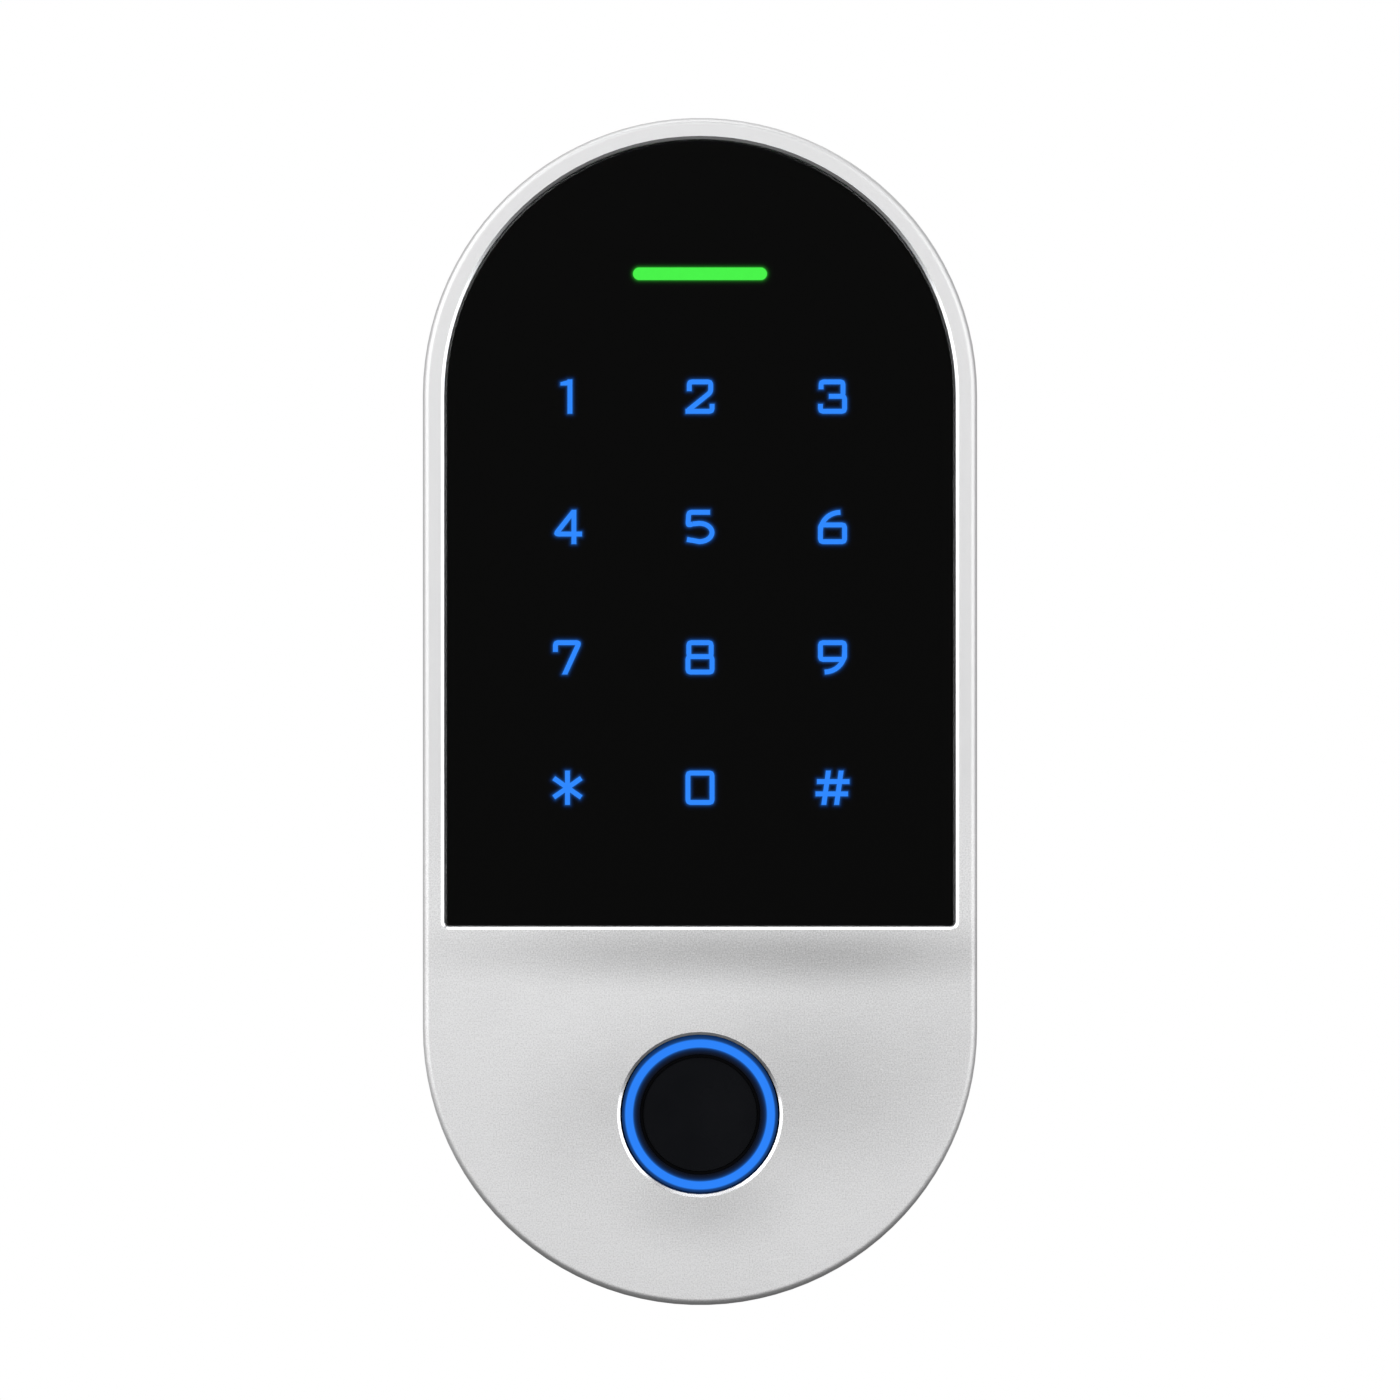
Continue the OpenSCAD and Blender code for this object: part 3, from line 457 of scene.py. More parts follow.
def soft_spot(tree, place, middle, size, slope=0.0):
    """1 in the middle of a soft oval on the front, 0 at its edge; half sizes in millimetres."""
    lay = put(tree, "ShaderNodeMapping", {"Vector": place, "Location": (middle[0], 0, middle[1]),
                                          "Rotation": (0, -math.radians(slope), 0),
                                          "Scale": (size[0], 1e6, size[1])}, vector_type="TEXTURE")
    return smooth(tree, length_of(tree, lay.outputs["Vector"]), 1.0, 0.0)


def sloped_edges(tree, place):
    """Two masks: the window's and sensor hole's chamfers, which are cut bright, and the outer rounding."""
    parts = split(tree, place)
    past = calc(tree, "MAXIMUM", calc(tree, "SUBTRACT", calc(tree, "ABSOLUTE", parts["Z"]), END_UP), 0.0)
    flat = put(tree, "ShaderNodeCombineXYZ", {"X": parts["X"], "Y": past}).outputs[0]
    inside = ranged(tree, length_of(tree, flat), RIM_INSIDE, RIM_INSIDE - 0.1)
    normal = put(tree, "ShaderNodeNewGeometry").outputs["Normal"]
    slope = calc(tree, "ABSOLUTE", split(tree, normal)["Y"])
    sloped = times(tree, ranged(tree, slope, 0.3, 0.5), ranged(tree, slope, 0.95, 0.85))
    within = times(tree, inside, sloped)
    return within, times(tree, ranged(tree, inside, 1, 0), ranged(tree, slope, 0.999, 0.95))


def case_metal(look):
    """Satin metal: uniform round the lens; round the sensor, clouds of tone and painted shade, streaks and
    scratches.
    """
    material, tree, shader, place = finish("case_metal", look.tone, look.roughness, 1.0)
    handled_and_shaded = smooth(tree, split(tree, place)["Z"], PLAIN_ABOVE, RUBBED_AND_SHADED_BELOW)
    blast = use(tree, blasted_grain(), Place=place, Grain=look.grain, Cloud=look.cloud)
    drawn = use(tree, drawn_lines(), Place=placed(tree, place, turn=(0, math.pi / 2, 0)))
    worn = use(tree, edge_wear(), Place=place, Amount=look.wear, Width=0.00018)["Mask"]
    marks = use(tree, short_scratches(), Place=place, Amount=0.8)["Mask"]
    dust = use(tree, dust_specks(), Place=place, Amount=0.6)["Mask"]
    shade_and_tone = times(tree, ranged(tree, blast["Tone"], 0, 1, 1, 0), 0.08)
    # Painted shade: darker soft spots on the lower metal, added to its random tone
    for middle, size, amount in PAINTED_SHADE_SPOTS:
        spot = soft_spot(tree, place, middle, size)
        shade_and_tone = plus(tree, shade_and_tone, times(tree, spot, amount))
    fine = plus(tree, times(tree, blast["Speckle"], 0.7), times(tree, drawn["Line"], 0.10))
    # Painted shade together with grain: the darker spots, the blasting's speckle and drawn lines, below the
    # plain metal
    rubbed = times(tree, plus(tree, shade_and_tone, calc(tree, "SUBTRACT", fine, 0.53)), handled_and_shaded)
    plain = ranged(tree, blast["Speckle"], 0, 1, 0.20, 0.23)
    base = blended(tree, plus(tree, plain, rubbed), shaded(look.tone, 1.15),
                   shaded(look.tone, 0.5))
    marked = times(tree, marks, handled_and_shaded)
    for middle, size, slope, amount in SCRATCHES:
        line = times(tree, soft_spot(tree, place, middle, size, slope), amount)
        marked = calc(tree, "MAXIMUM", marked, line)
    cut, rounding = sloped_edges(tree, place)
    # Painted shade: the case's outer rounding is painted darker
    shade_on_rounding = blended(tree, times(tree, rounding, 0.5), base, shaded(look.tone, 0.62))
    bright = blended(tree, calc(tree, "MAXIMUM", times(tree, worn, 0.3), marked), shade_on_rounding, WORN_TONE)
    cut_bright = blended(tree, cut, bright, CUT_TONE)
    specked = blended(tree, times(tree, dust, handled_and_shaded), cut_bright, DUST_TONE)
    rough = ranged(tree, blast["Speckle"], 0, 1, look.roughness - 0.02, look.roughness + 0.02)
    eased = calc(tree, "SUBTRACT", rough, times(tree, worn, 0.08))
    # The cut chamfers are slightly rounded: their normals lean towards the front
    front = put(tree, "ShaderNodeVectorTransform", {"Vector": (0, -1, 0)}, vector_type="NORMAL",
                convert_from="OBJECT", convert_to="WORLD").outputs[0]
    lean = put(tree, "ShaderNodeVectorMath", {0: front, "Scale": times(tree, cut, CUT_LEAN)},
               operation="SCALE").outputs[0]
    grain = bumped(tree, blast["Height"], 0.35, 0.00001)
    turned = put(tree, "ShaderNodeVectorMath", {0: grain, 1: lean}, operation="ADD").outputs[0]
    feed(tree, shader, Base_Color=specked,
         Roughness=calc(tree, "SUBTRACT", eased, times(tree, cut, look.roughness * 0.55)),
         Normal=put(tree, "ShaderNodeVectorMath", {0: turned}, operation="NORMALIZE").outputs[0])
    return material


def lens_glass():
    material, tree, shader, place = finish("lens_glass", (0.97, 0.98, 0.98), 0.0, 0.0, IOR=1.5,
                                           Transmission_Weight=1.0)
    smear = ranged(tree, noise(tree, place, 0.12, 3.0), 0.45, 0.75, 0.0, 0.02)
    feed(tree, shader, Roughness=smear)
    return material


def print_black():
    material, tree, shader, place = finish("black_print", (0.012, 0.012, 0.012), 0.6)
    grain = use(tree, moulded_grain(), Place=place, Grain=0.2)
    tint = blended(tree, grain["Tone"], (0.0116, 0.0116, 0.0118), (0.0124, 0.0124, 0.0126))
    feed(tree, shader, Base_Color=tint)
    return material


def lit_plastic(name, colour, level):
    """Diffusing plastic lit from behind, with a faint unevenness."""
    material, tree, shader, place = finish(name, shaded(colour, 0.02), 0.5, Emission_Strength=level)
    grain = use(tree, moulded_grain(), Place=place, Grain=0.4)
    feed(tree, shader, Emission_Color=blended(tree, grain["Tone"], shaded(colour, 0.98), colour))
    return material


def halo_finish(name, colour, look):
    """Light that strays beside a lit stroke: it fades with the mesh's stray distance, in millimetres."""
    material, tree, shader, place = finish(name, (0, 0, 0), 1.0, Emission_Strength=look.level,
                                           Specular_IOR_Level=0.0)
    stray = put(tree, "ShaderNodeAttribute", attribute_name="stray").outputs["Fac"]
    glow = use(tree, soft_glow(), Distance=stray, Spread=look.halo_spread, Level=look.halo_level)["Mask"]
    tint = blended(tree, ranged(tree, noise(tree, place, 1.5, 1.0), 0.3, 0.7), shaded(colour, 0.94), colour)
    feed(tree, shader, Emission_Color=tint, Alpha=glow)
    return material


def ring_light(look, middle):
    """Light ring: bright across its middle, fading inwards, with a dim outer edge."""
    material, tree, shader, place = finish("ring_blue", (0.0008, 0.0015, 0.004), 0.3, Emission_Strength=1.0,
                                           Specular_IOR_Level=0.15)
    flat = placed(tree, place, scale=(1, 0, 1), shift=(-middle.x / MM, 0, -middle.z / MM))
    ramp = put(tree, "ShaderNodeValToRGB", {"Fac": ranged(tree, length_of(tree, flat), *RING_RADII)})
    band = ramp.color_ramp
    while len(band.elements) < len(RING_STOPS):
        band.elements.new(1.0)
    for element, (at, level) in zip(band.elements, RING_STOPS):
        element.position = at
        element.color = (*shaded(look.ring, level), 1)
    grain = use(tree, moulded_grain(), Place=place, Grain=0.35)
    even = ranged(tree, grain["Tone"], 0, 1, 0.985, 1.015)
    light = put(tree, "ShaderNodeMix", data_type="RGBA", blend_type="MULTIPLY")
    light.inputs[0].default_value = 1.0
    tree.links.new(ramp.outputs["Color"], light.inputs[6])
    tree.links.new(even, light.inputs[7])
    feed(tree, shader, Emission_Color=light.outputs[2])
    return material


def plastic_finish(name, colour, roughness, grain, depth, tone=0.12, wear=0.0, **sockets):
    material, tree, shader, place = finish(name, colour, roughness, **sockets)
    mould = use(tree, moulded_grain(), Place=place, Grain=grain)
    base = blended(tree, mould["Tone"], shaded(colour, 1 - tone), colour)
    if wear:
        worn = use(tree, edge_wear(), Place=place, Amount=wear)["Mask"]
        base = blended(tree, worn, base, shaded(colour, 1.6, 0.02))
    feed(tree, shader, Base_Color=base,
         Roughness=ranged(tree, mould["Tone"], 0, 1, roughness - 0.04, roughness + 0.05),
         Normal=bumped(tree, mould["Height"], depth, 0.00003))
    return material


def sheet_steel(name, colour, roughness):
    """Zinc-plated sheet with its rolling lines, a mottled plating and rubbed edges."""
    material, tree, shader, place = finish(name, colour, roughness, 1.0)
    drawn = use(tree, drawn_lines(), Place=place)
    worn = use(tree, edge_wear(), Place=place, Amount=0.8, Width=0.00025)["Mask"]
    marks = use(tree, short_scratches(), Place=place, Amount=0.6)["Mask"]
    cells = put(tree, "ShaderNodeTexVoronoi", {"Vector": place, "Scale": 0.32})
    bloom = blended(tree, ranged(tree, cells.outputs["Distance"], 0.1, 0.9), shaded(colour, 0.86), colour)
    tint = blended(tree, times(tree, drawn["Tone"], 0.35), bloom, (0.74, 0.72, 0.60))
    bright = blended(tree, calc(tree, "MAXIMUM", worn, marks), tint, (0.9, 0.9, 0.91))
    feed(tree, shader, Base_Color=bright,
         Roughness=ranged(tree, drawn["Line"], 0, 1, roughness - 0.06, roughness + 0.08),
         Normal=bumped(tree, drawn["Line"], 0.15, 0.00002))
    return material


def board_finish():
    """Green solder mask over copper tracks, with bare gold pads and its weave showing faintly."""
    material, tree, shader, place = finish("board_green", (0.012, 0.16, 0.06), 0.3, Coat_Weight=0.3)
    runs = put(tree, "ShaderNodeTexBrick",
               {"Vector": placed(tree, place, scale=(1, 0, 1), turn=(1.5708, 0, 0)), "Scale": 1.0,
                "Mortar Size": 0.11, "Mortar Smooth": 0.1, "Bias": 0.0,
                "Brick Width": 5.2, "Row Height": 1.3},
               offset=0.37, squash=1.7, squash_frequency=3)
    kept = ranged(tree, noise(tree, place, 0.13, 1.0), 0.44, 0.5)
    track = times(tree, runs.outputs["Fac"], kept)
    dots = put(tree, "ShaderNodeTexVoronoi", {"Vector": placed(tree, place, scale=(1, 0, 1)), "Scale": 0.33})
    via = ranged(tree, dots.outputs["Distance"], 0.13, 0.10)
    weave = noise(tree, placed(tree, place, scale=(1, 1, 6)), 1.2, 2.0)
    mask = blended(tree, ranged(tree, weave, 0.3, 0.7), (0.010, 0.14, 0.052), (0.014, 0.18, 0.07))
    tracked = blended(tree, track, mask, (0.03, 0.30, 0.11))
    feed(tree, shader, Base_Color=blended(tree, via, tracked, (0.75, 0.55, 0.22)), Metallic=via,
         Normal=bumped(tree, track, 0.4, 0.00003))
    return material


def rubber_finish(name, colour):
    material, tree, shader, place = finish(name, colour, 0.75)
    mould = use(tree, moulded_grain(), Place=place, Grain=0.22)
    bloom = use(tree, dust_specks(), Place=place, Amount=0.35)["Mask"]
    base = blended(tree, mould["Tone"], colour, shaded(colour, 1.4))
    feed(tree, shader, Base_Color=blended(tree, bloom, base, (0.2, 0.2, 0.19)),
         Normal=bumped(tree, mould["Height"], 0.3, 0.00004))
    return material


def ribbon_finish():
    """White flat cable with its conductors showing as faint lines along it."""
    material, tree, shader, place = finish("ribbon_white", (0.82, 0.82, 0.79), 0.4)
    wave = put(tree, "ShaderNodeTexWave", {"Vector": place, "Scale": 0.32, "Distortion": 0.0},
               bands_direction="X")
    lines = ranged(tree, wave.outputs["Fac"], 0.4, 0.8)
    feed(tree, shader, Base_Color=blended(tree, lines, (0.66, 0.66, 0.64), (0.84, 0.84, 0.81)),
         Normal=bumped(tree, lines, 0.4, 0.00005))
    return material


def paint(slot, material):
    """Gives a record slot's finish to every CAD node that has that slot."""
    for part in frame["record"]["subparts"]:
        if part["material_slot"] == slot:
            for holder in NODES[part["node"]].material_slots:
                holder.material = material


def middle_of(node):
    low, high = (Vector(corner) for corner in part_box(node))
    return (low + high) / 2


# ---- pieces ----

def as_object(bm, name, material, body, smooth_angle=35):
    """Makes the mesh an object at the origin, shaded smooth up to an angle, riding on a body."""
    bmesh.ops.recalc_face_normals(bm, faces=bm.faces)
    for face in bm.faces:
        face.smooth = True
    for edge in bm.edges:
        if edge.is_manifold and edge.calc_face_angle(0) > math.radians(smooth_angle):
            edge.smooth = False
    mesh = bpy.data.meshes.new(name)
    bm.to_mesh(mesh)
    bm.free()
    mesh.materials.append(material)
    piece = bpy.data.objects.new(name, mesh)
    bpy.context.scene.collection.objects.link(piece)
    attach(piece, body)
    return piece


def halo_sheet(node, name, material, look):
    """A flat sheet just inside the glass whose vertices hold their distance to the lit shape."""
    low, high = (Vector(corner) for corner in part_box(node))
    front = low.y
    flat = bmesh.new()
    flat.from_mesh(NODES[node].data)
    behind = [f for f in flat.faces if f.normal.y > -0.9 or f.calc_center_median().y > front + 0.01 * MM]
    bmesh.ops.delete(flat, geom=behind, context="FACES")
    tree = BVHTree.FromBMesh(flat)
    bm = bmesh.new()
    size = Vector((high.x - low.x + 2 * look.halo_margin, high.z - low.z + 2 * look.halo_margin))
    steps = [max(2, round(length / look.halo_cell)) for length in size]
    stand = Matrix.Translation(((low.x + high.x) / 2, front - HALO_GAP, (low.z + high.z) / 2))
    stand = stand @ Matrix.Rotation(math.pi / 2, 4, "X") @ Matrix.Diagonal((size.x, size.y, 1, 1))
    bmesh.ops.create_grid(bm, x_segments=steps[0], y_segments=steps[1], size=0.5, matrix=stand)
    stray = bm.verts.layers.float.new("stray")
    for vert in bm.verts:
        near, _, _, _ = tree.find_nearest(Vector((vert.co.x, front, vert.co.z)))
        vert[stray] = math.hypot(vert.co.x - near.x, vert.co.z - near.z) / MM
    flat.free()
    as_object(bm, name, material, "front_unit")


def islands(node):
    """Boxes (low, high) of the separate solids of a CAD node."""
    bm = bmesh.new()
    bm.from_mesh(NODES[node].data)
    bmesh.ops.remove_doubles(bm, verts=bm.verts, dist=WELD)
    left = set(bm.verts)
    boxes = []
    while left:
        found, waiting = set(), [left.pop()]
        while waiting:
            vert = waiting.pop()
            found.add(vert)
            for edge in vert.link_edges:
                other = edge.other_vert(vert)
                if other in left:
                    left.remove(other)
                    waiting.append(other)
        boxes.append([Vector([pick(v.co[axis] for v in found) for axis in range(3)])
                      for pick in (min, max)])
    bm.free()
    return sorted(boxes, key=lambda box: tuple(box[0]))


def open_edges(bm, upper, middle):
    """The mesh's open edges: those above a height, or the others."""
    return [e for e in bm.edges if e.is_boundary and (e.verts[0].co.z > middle) == upper]


def ring(bm, corners, radius, height, filled=False):
    """A loop of edges, filled or not; returns its vertices and its edges."""
    made = bmesh.ops.create_circle(bm, cap_ends=filled, segments=corners, radius=radius,
                                   matrix=Matrix.Translation((0, 0, height)))["verts"]
    return made, list(dict.fromkeys(e for v in made for e in v.link_edges))


def shape_cross(verts, reach, width):
    """Moves the twelve vertices of a ring to a cross's corners."""
    corners = []
    for quarter in range(4):
        turn = Matrix.Rotation(quarter * math.pi / 2, 2)
        corners += [turn @ Vector(at) for at in ((reach, width), (width, width), (width, reach))]
    corners.sort(key=lambda at: math.atan2(at.y, at.x))
    for vert, at in zip(sorted(verts, key=lambda v: math.atan2(v.co.y, v.co.x)), corners):
        vert.co.x, vert.co.y = at


def spun(bm, line, steps, rise=0.0):
    """Turns a line of (radius, height) points once round the upright axis, rising as it goes."""
    verts = [bm.verts.new((radius, 0, height)) for radius, height in line]
    edges = [bm.edges.new(pair) for pair in zip(verts, verts[1:])]
    bmesh.ops.spin(bm, geom=verts + edges, cent=(0, 0, 0), axis=(0, 0, 1), dvec=(0, 0, rise / steps),
                   angle=math.tau, steps=steps, use_merge=not rise)
    bmesh.ops.remove_doubles(bm, verts=bm.verts, dist=WELD)


def turned_screw(outline, crest, length, tip, socket, look):
    """Threaded screw with its head's outer face at 0 and its tip at length.

    outline is the head's, from its rim to the shank, as (radius, height) points. The recess is a cross, or a
    hex socket if socket is true. crest is the thread's outer radius, and tip the height of the end's cone.
    """
    bm = bmesh.new()
    root = crest - look.depth
    base = outline[-1][1]
    start = base + NECK
    turns = int((length - tip - start) / look.pitch) - 1
    thread = [(crest if i % 2 else root, start + i * look.pitch / 2) for i in range(2 * turns + 1)]
    spun(bm, thread, look.steps, look.pitch)
    middle = start + turns * look.pitch / 2
    ring(bm, look.steps, root - tip * 0.7, length, filled=True)
    bmesh.ops.bridge_loops(bm, edges=open_edges(bm, True, middle))
    spun(bm, [*outline, (root, base)], look.steps)
    rim = open_edges(bm, False, base / 2)
    bmesh.ops.bridge_loops(bm, edges=[e for e in open_edges(bm, False, middle) if e not in rim])
    corners = 6 if socket else 12
    mouth, mouth_edges = ring(bm, corners, look.socket_reach, 0)
    depth = look.socket_depth if socket else look.cross_depth
    bottom, bottom_edges = ring(bm, corners, look.socket_reach, depth, filled=True)
    if not socket:
        shape_cross(mouth, look.cross_reach, look.cross_width / 2)
        shape_cross(bottom, look.cross_reach * CROSS_TAPER, look.cross_width / 2 * CROSS_TAPER)
    bmesh.ops.bridge_loops(bm, edges=mouth_edges + bottom_edges)
    bmesh.ops.triangle_fill(bm, edges=rim + mouth_edges, use_beauty=True)
    bmesh.ops.recalc_face_normals(bm, faces=bm.faces)
    if bm.calc_volume(signed=True) < 0:
        bmesh.ops.reverse_faces(bm, faces=bm.faces)
    mesh = bpy.data.meshes.new("screw")
    bm.to_mesh(mesh)
    bm.free()
    return mesh


def fit_screws(node, material, body, outline_of, crest_share, tip, locks, look):
    """Puts a turned screw in the place of each solid of a CAD node; they all are one object.

    Screws go in from the back. One that locks goes in from below and has a hex socket.
    """
    bm = bmesh.new()
    for low, high in islands(node):
        size, middle = high - low, (low + high) / 2
        length = size.z if locks else size.y
        reach = size.x / 2
        mesh = turned_screw(outline_of(reach), reach * crest_share, length, tip, locks, look)
        if locks:
            place = Matrix.Translation((middle.x, middle.y, low.z))
        else:
            place = Matrix.Translation((middle.x, high.y, middle.z)) @ Matrix.Rotation(math.pi / 2, 4, "X")
        mesh.transform(place)
        bm.from_mesh(mesh)
        bpy.data.meshes.remove(mesh)
    piece = as_object(bm, node + "_turned", material, body, smooth_angle=30)
    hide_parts(node)


class TERMINAL_OT_case(Operator):
    """Blasted metal of the case"""
    bl_idname = "terminal.case"
    bl_label = "Case"

    def execute(self, context):
        paint("case_metal", case_metal(context.scene.terminal_case))
        return {"FINISHED"}


class TERMINAL_OT_lens(Operator):
    """Glass lens, its printed film and its adhesive"""
    bl_idname = "terminal.lens"
    bl_label = "Lens"

    def execute(self, context):
        paint("lens_glass", lens_glass())
        paint("black_print", print_black())
        paint("foam_tape", rubber_finish("foam_tape", (0.05, 0.05, 0.052)))
        return {"FINISHED"}


class TERMINAL_OT_legends(Operator):
    """Lit legends and the status bar, each with the halo of stray light round it"""
    bl_idname = "terminal.legends"
    bl_label = "Legends and status bar"

    def execute(self, context):
        look = context.scene.terminal_lights
        paint("legend_blue", lit_plastic("legend_blue", look.legend, look.level))
        paint("status_green", lit_plastic("status_green", look.bar, look.level))
        blue = halo_finish("legend_halo", look.legend, look)
        green = halo_finish("status_halo", look.bar, look)
        for node in LEGENDS:
            halo_sheet(node, node.replace("legend", "halo"), blue, look)
        halo_sheet("status_light_bar", "halo_status_bar", green, look)
        return {"FINISHED"}


class TERMINAL_OT_sensor(Operator):
    """Sensing disc and its light ring"""
    bl_idname = "terminal.sensor"
    bl_label = "Fingerprint sensor"

    def execute(self, context):
        look = context.scene.terminal_lights
        paint("ring_blue", ring_light(look, middle_of("light_ring")))
        paint("sensor_ceramic", plastic_finish("sensor_ceramic", (0.0040, 0.0043, 0.0054), 0.25, 0.12, 0.05,
                                               tone=0.08, Specular_IOR_Level=0.08))
        return {"FINISHED"}


class TERMINAL_OT_plastics(Operator):
    """Moulded plastics, the ribbon cable and the rubber seals"""
    bl_idname = "terminal.plastics"
    bl_label = "Plastic and rubber parts"

    def execute(self, context):
        for slot, colour, roughness, grain, depth, more in PLASTICS:
            paint(slot, plastic_finish(slot, colour, roughness, grain, depth, **more))
        paint("ribbon_white", ribbon_finish())
        paint("seal_rubber", rubber_finish("seal_rubber", (0.02, 0.02, 0.02)))
        return {"FINISHED"}


class TERMINAL_OT_boards(Operator):
    """Boards, standoffs and cans"""
    bl_idname = "terminal.boards"
    bl_label = "Boards"

    def execute(self, context):
        paint("board_green", board_finish())
        paint("brass", metal_finish("brass", (0.78, 0.56, 0.2), 0.28, 0.12, 0.2, 0.5))
        paint("can_aluminium", metal_finish("can_aluminium", (0.82, 0.82, 0.83), 0.3, 0.2, 0.15, 0.4))
        return {"FINISHED"}


class TERMINAL_OT_wall_plate(Operator):
    """Plated steel of the wall plate, its strap and the sensor's bracket"""
    bl_idname = "terminal.wall_plate"
    bl_label = "Wall plate"

    def execute(self, context):
        paint("zinc_steel", sheet_steel("zinc_steel", (0.66, 0.68, 0.70), 0.34))
        return {"FINISHED"}


class TERMINAL_OT_screws(Operator):
    """Threaded screws: cross recesses on the boards and the rear cover, a hex socket in the lock screw"""
    bl_idname = "terminal.screws"
    bl_label = "Screws"

    def execute(self, context):
        look = context.scene.terminal_screws
        nickel = metal_finish("screw_steel", (0.62, 0.61, 0.59), 0.25, 0.1, 0.1, 0.6)
        stainless = metal_finish("lock_steel", (0.38, 0.38, 0.4), 0.3, 0.1, 0.1, 0.6)

        def pan(reach):
            height = look.pan_height
            return ((reach * 0.76, 0), (reach * 0.9, height * 0.12), (reach, height * 0.4), (reach, height))

        def sunk(reach):
            return ((reach * 0.94, 0), (reach, look.sunk_height * 0.08), (reach * 0.56, look.sunk_height))

        def headless(reach):
            return ((reach * 0.8, 0), (reach, 0.25 * MM), (reach, 0.4 * MM))

        # Each thread's radius is a share of its head's
        for node, outline, share in (("board_screws", pan, 1 / 1.9), ("bracket_screws", pan, 1 / 1.9),
                                     ("cover_screws", sunk, 1.2 / 2.2)):
            fit_screws(node, nickel, "front_unit", outline, share, 0.2 * MM, False, look)
        fit_screws("lock_screw", stainless, "lock_screw", headless, 1.0, 0.55 * MM, True, look)
        return {"FINISHED"}


def soft_box(name, place, size, power, aim):
    light = bpy.data.lights.new(name, "AREA")
    light.shape = "RECTANGLE"
    light.size, light.size_y = size
    light.energy = power
    lamp = bpy.data.objects.new(name, light)
    lamp.location = place
    lamp.rotation_euler = (Vector(aim) - Vector(place)).to_track_quat("-Z", "Y").to_euler()
    bpy.context.scene.collection.objects.link(lamp)


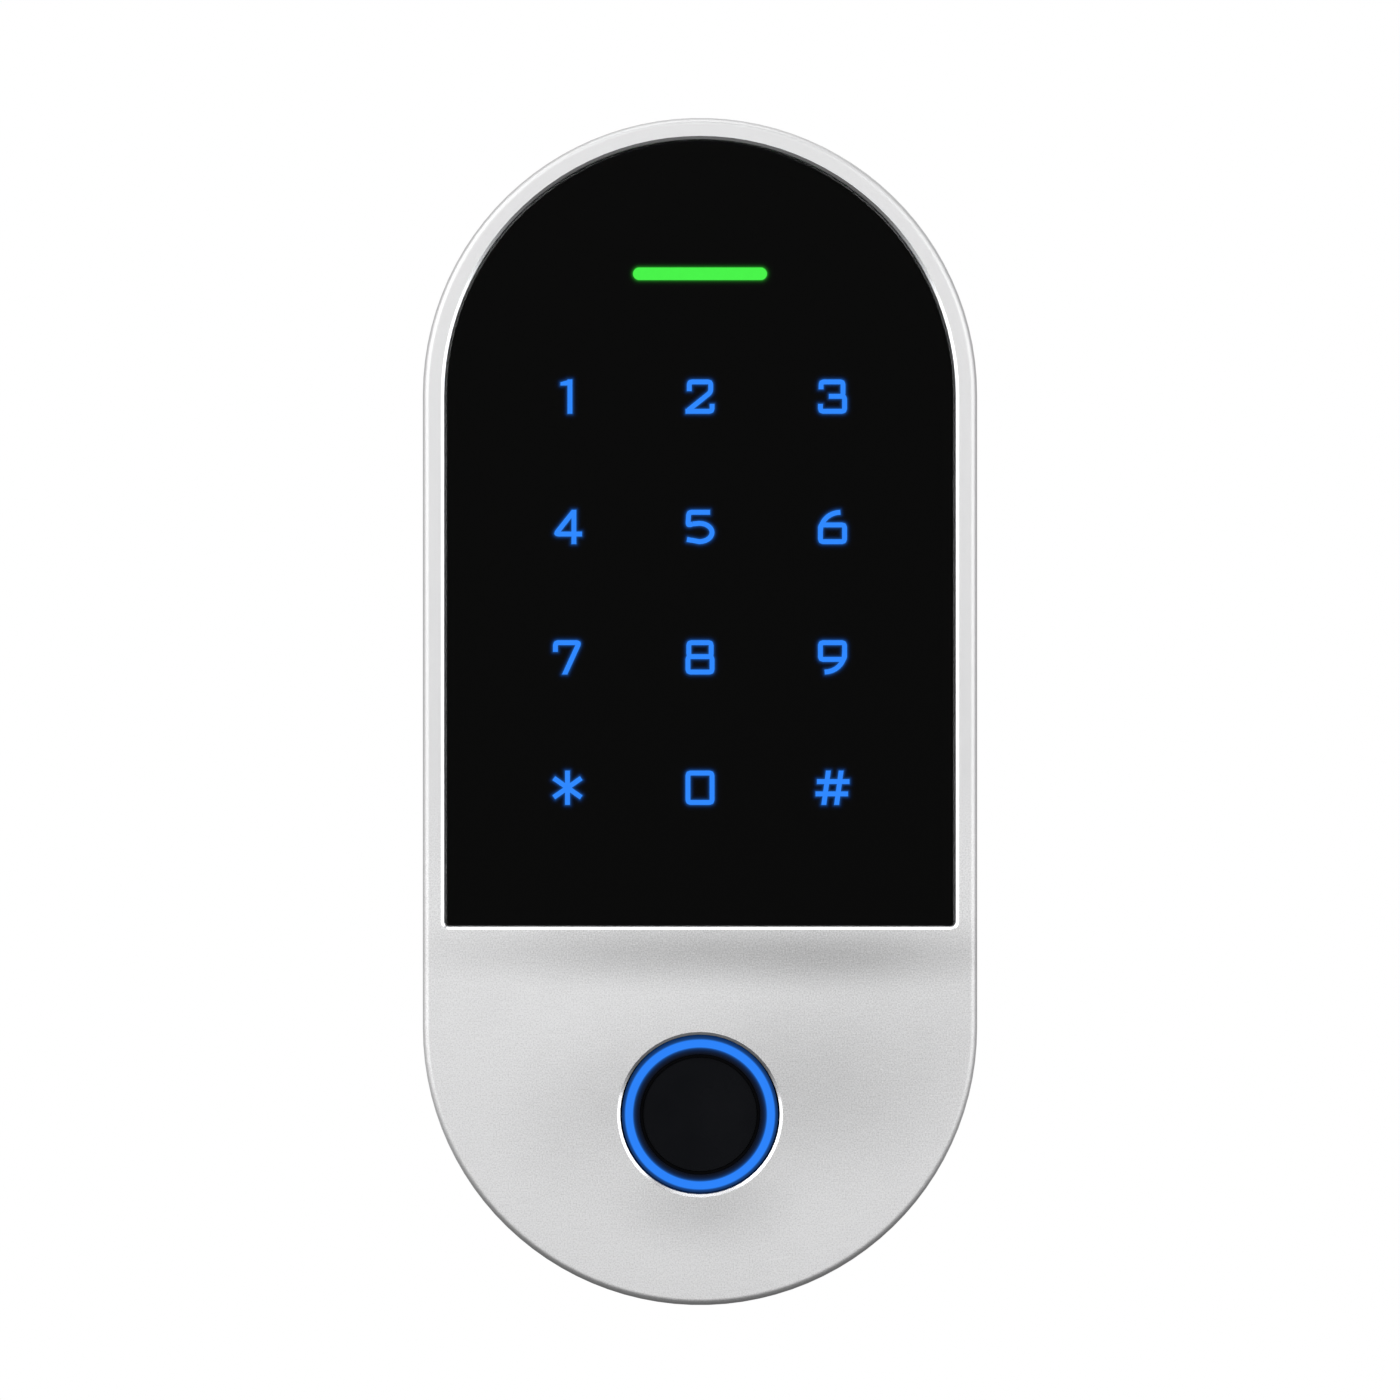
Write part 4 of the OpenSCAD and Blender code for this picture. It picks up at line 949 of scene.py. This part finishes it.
class TERMINAL_OT_stage(Operator):
    """Pale floor, soft boxes, surroundings and the camera"""
    bl_idname = "terminal.stage"
    bl_label = "Stage"

    def execute(self, context):
        scene = context.scene
        setting = scene.terminal_stage
        scene.view_settings.view_transform = "Standard"
        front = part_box("front_case")[0][1]

        bm = bmesh.new()
        bmesh.ops.create_circle(bm, cap_ends=True, segments=64, radius=FLOOR_RADIUS)
        bmesh.ops.translate(bm, verts=bm.verts, vec=(0, 0, CAD_BOX[0][2] - setting.floor_drop))
        mesh = bpy.data.meshes.new("floor")
        bm.to_mesh(mesh)
        bm.free()
        floor = bpy.data.objects.new("floor", mesh)
        scene.collection.objects.link(floor)
        material, tree, shader, place = finish("pale_floor", (0.86, 0.86, 0.86), 0.8)
        pale = blended(tree, noise(tree, place, 0.01, 3.0), (0.84, 0.84, 0.84), (0.88, 0.88, 0.88))
        # Painted shade: in reflections the floor shows dark, which darkens the case's lower edges that mirror
        # it
        mirrored = put(tree, "ShaderNodeLightPath").outputs["Is Glossy Ray"]
        feed(tree, shader, Base_Color=blended(tree, mirrored, pale, (0.15, 0.15, 0.15)))
        mesh.materials.append(material)

        world = bpy.data.worlds.new("studio")
        scene.world = world
        world.use_nodes = True
        tree = world.node_tree
        tree.nodes.clear()
        way = put(tree, "ShaderNodeTexCoord").outputs["Generated"]
        parts = split(tree, way)
        # Dark behind the camera, brighter at the left than at the right, dimmer below than above
        ahead = ranged(tree, parts["Y"], -0.93, -0.45, 0.165, 1.0)
        sideways = ranged(tree, parts["X"], -1.0, 1.0, 0.68, 0.5)
        upwards = ranged(tree, parts["Z"], -0.7, 0.1, 0.62, 0.95)
        level = times(tree, times(tree, ahead, sideways), upwards)
        surroundings = put(tree, "ShaderNodeBackground", {"Color": (1, 1, 1, 1), "Strength": level})
        backdrop = put(tree, "ShaderNodeBackground", {"Color": (1, 1, 1, 1), "Strength": 1.0})
        seen = put(tree, "ShaderNodeLightPath").outputs["Is Camera Ray"]
        both = put(tree, "ShaderNodeMixShader", {0: seen, 1: surroundings.outputs[0], 2: backdrop.outputs[0]})
        put(tree, "ShaderNodeOutputWorld", {"Surface": both.outputs[0]})

        for name, place, size, power, share in FRONT_LIGHTS:
            soft_box(name, place, size, getattr(setting, power) * share, (0, front, 0))
        soft_box("rear_light", (0.15, 0.75, 0.45), (1.1, 1.1), setting.rear_power, (0, 0, 0))

        camera = bpy.data.cameras.new("camera")
        camera.sensor_width = SENSOR_WIDTH
        camera.lens = SENSOR_WIDTH * setting.distance / setting.width
        camera.clip_start = 0.01
        camera.clip_end = 20.0
        view = bpy.data.objects.new("camera", camera)
        view.location = (0, front - setting.distance, setting.rise)
        view.rotation_euler = (math.pi / 2, 0, 0)
        scene.collection.objects.link(view)
        scene.camera = view
        return {"FINISHED"}


class TERMINAL_PT_panel(Panel):
    """Lists the terminal's makers in the sidebar"""
    bl_label = "Fingerprint terminal"
    bl_idname = "TERMINAL_PT_panel"
    bl_space_type = "VIEW_3D"
    bl_region_type = "UI"
    bl_category = "Terminal"

    def draw(self, context):
        scene = context.scene
        for look in (scene.terminal_case, scene.terminal_lights, scene.terminal_screws, scene.terminal_stage):
            box = self.layout.box()
            for name in look.__annotations__:
                box.prop(look, name)
        for maker in MAKERS:
            self.layout.operator(maker.bl_idname)


SETTINGS = (CaseFinish, LightFinish, ScrewShape, StageSetting)
MAKERS = (TERMINAL_OT_case, TERMINAL_OT_lens, TERMINAL_OT_legends, TERMINAL_OT_sensor, TERMINAL_OT_plastics,
          TERMINAL_OT_boards, TERMINAL_OT_wall_plate, TERMINAL_OT_screws, TERMINAL_OT_stage)
CLASSES = SETTINGS + MAKERS + (TERMINAL_PT_panel,)


def register():
    for kind in CLASSES:
        bpy.utils.register_class(kind)
    bpy.types.Scene.terminal_case = PointerProperty(type=CaseFinish)
    bpy.types.Scene.terminal_lights = PointerProperty(type=LightFinish)
    bpy.types.Scene.terminal_screws = PointerProperty(type=ScrewShape)
    bpy.types.Scene.terminal_stage = PointerProperty(type=StageSetting)


def unregister():
    for name in ("terminal_case", "terminal_lights", "terminal_screws", "terminal_stage"):
        delattr(bpy.types.Scene, name)
    for kind in reversed(CLASSES):
        bpy.utils.unregister_class(kind)


def main():
    register()
    for maker in MAKERS:
        area, name = maker.bl_idname.split(".")
        getattr(getattr(bpy.ops, area), name)()


if __name__ == "__main__":
    main()
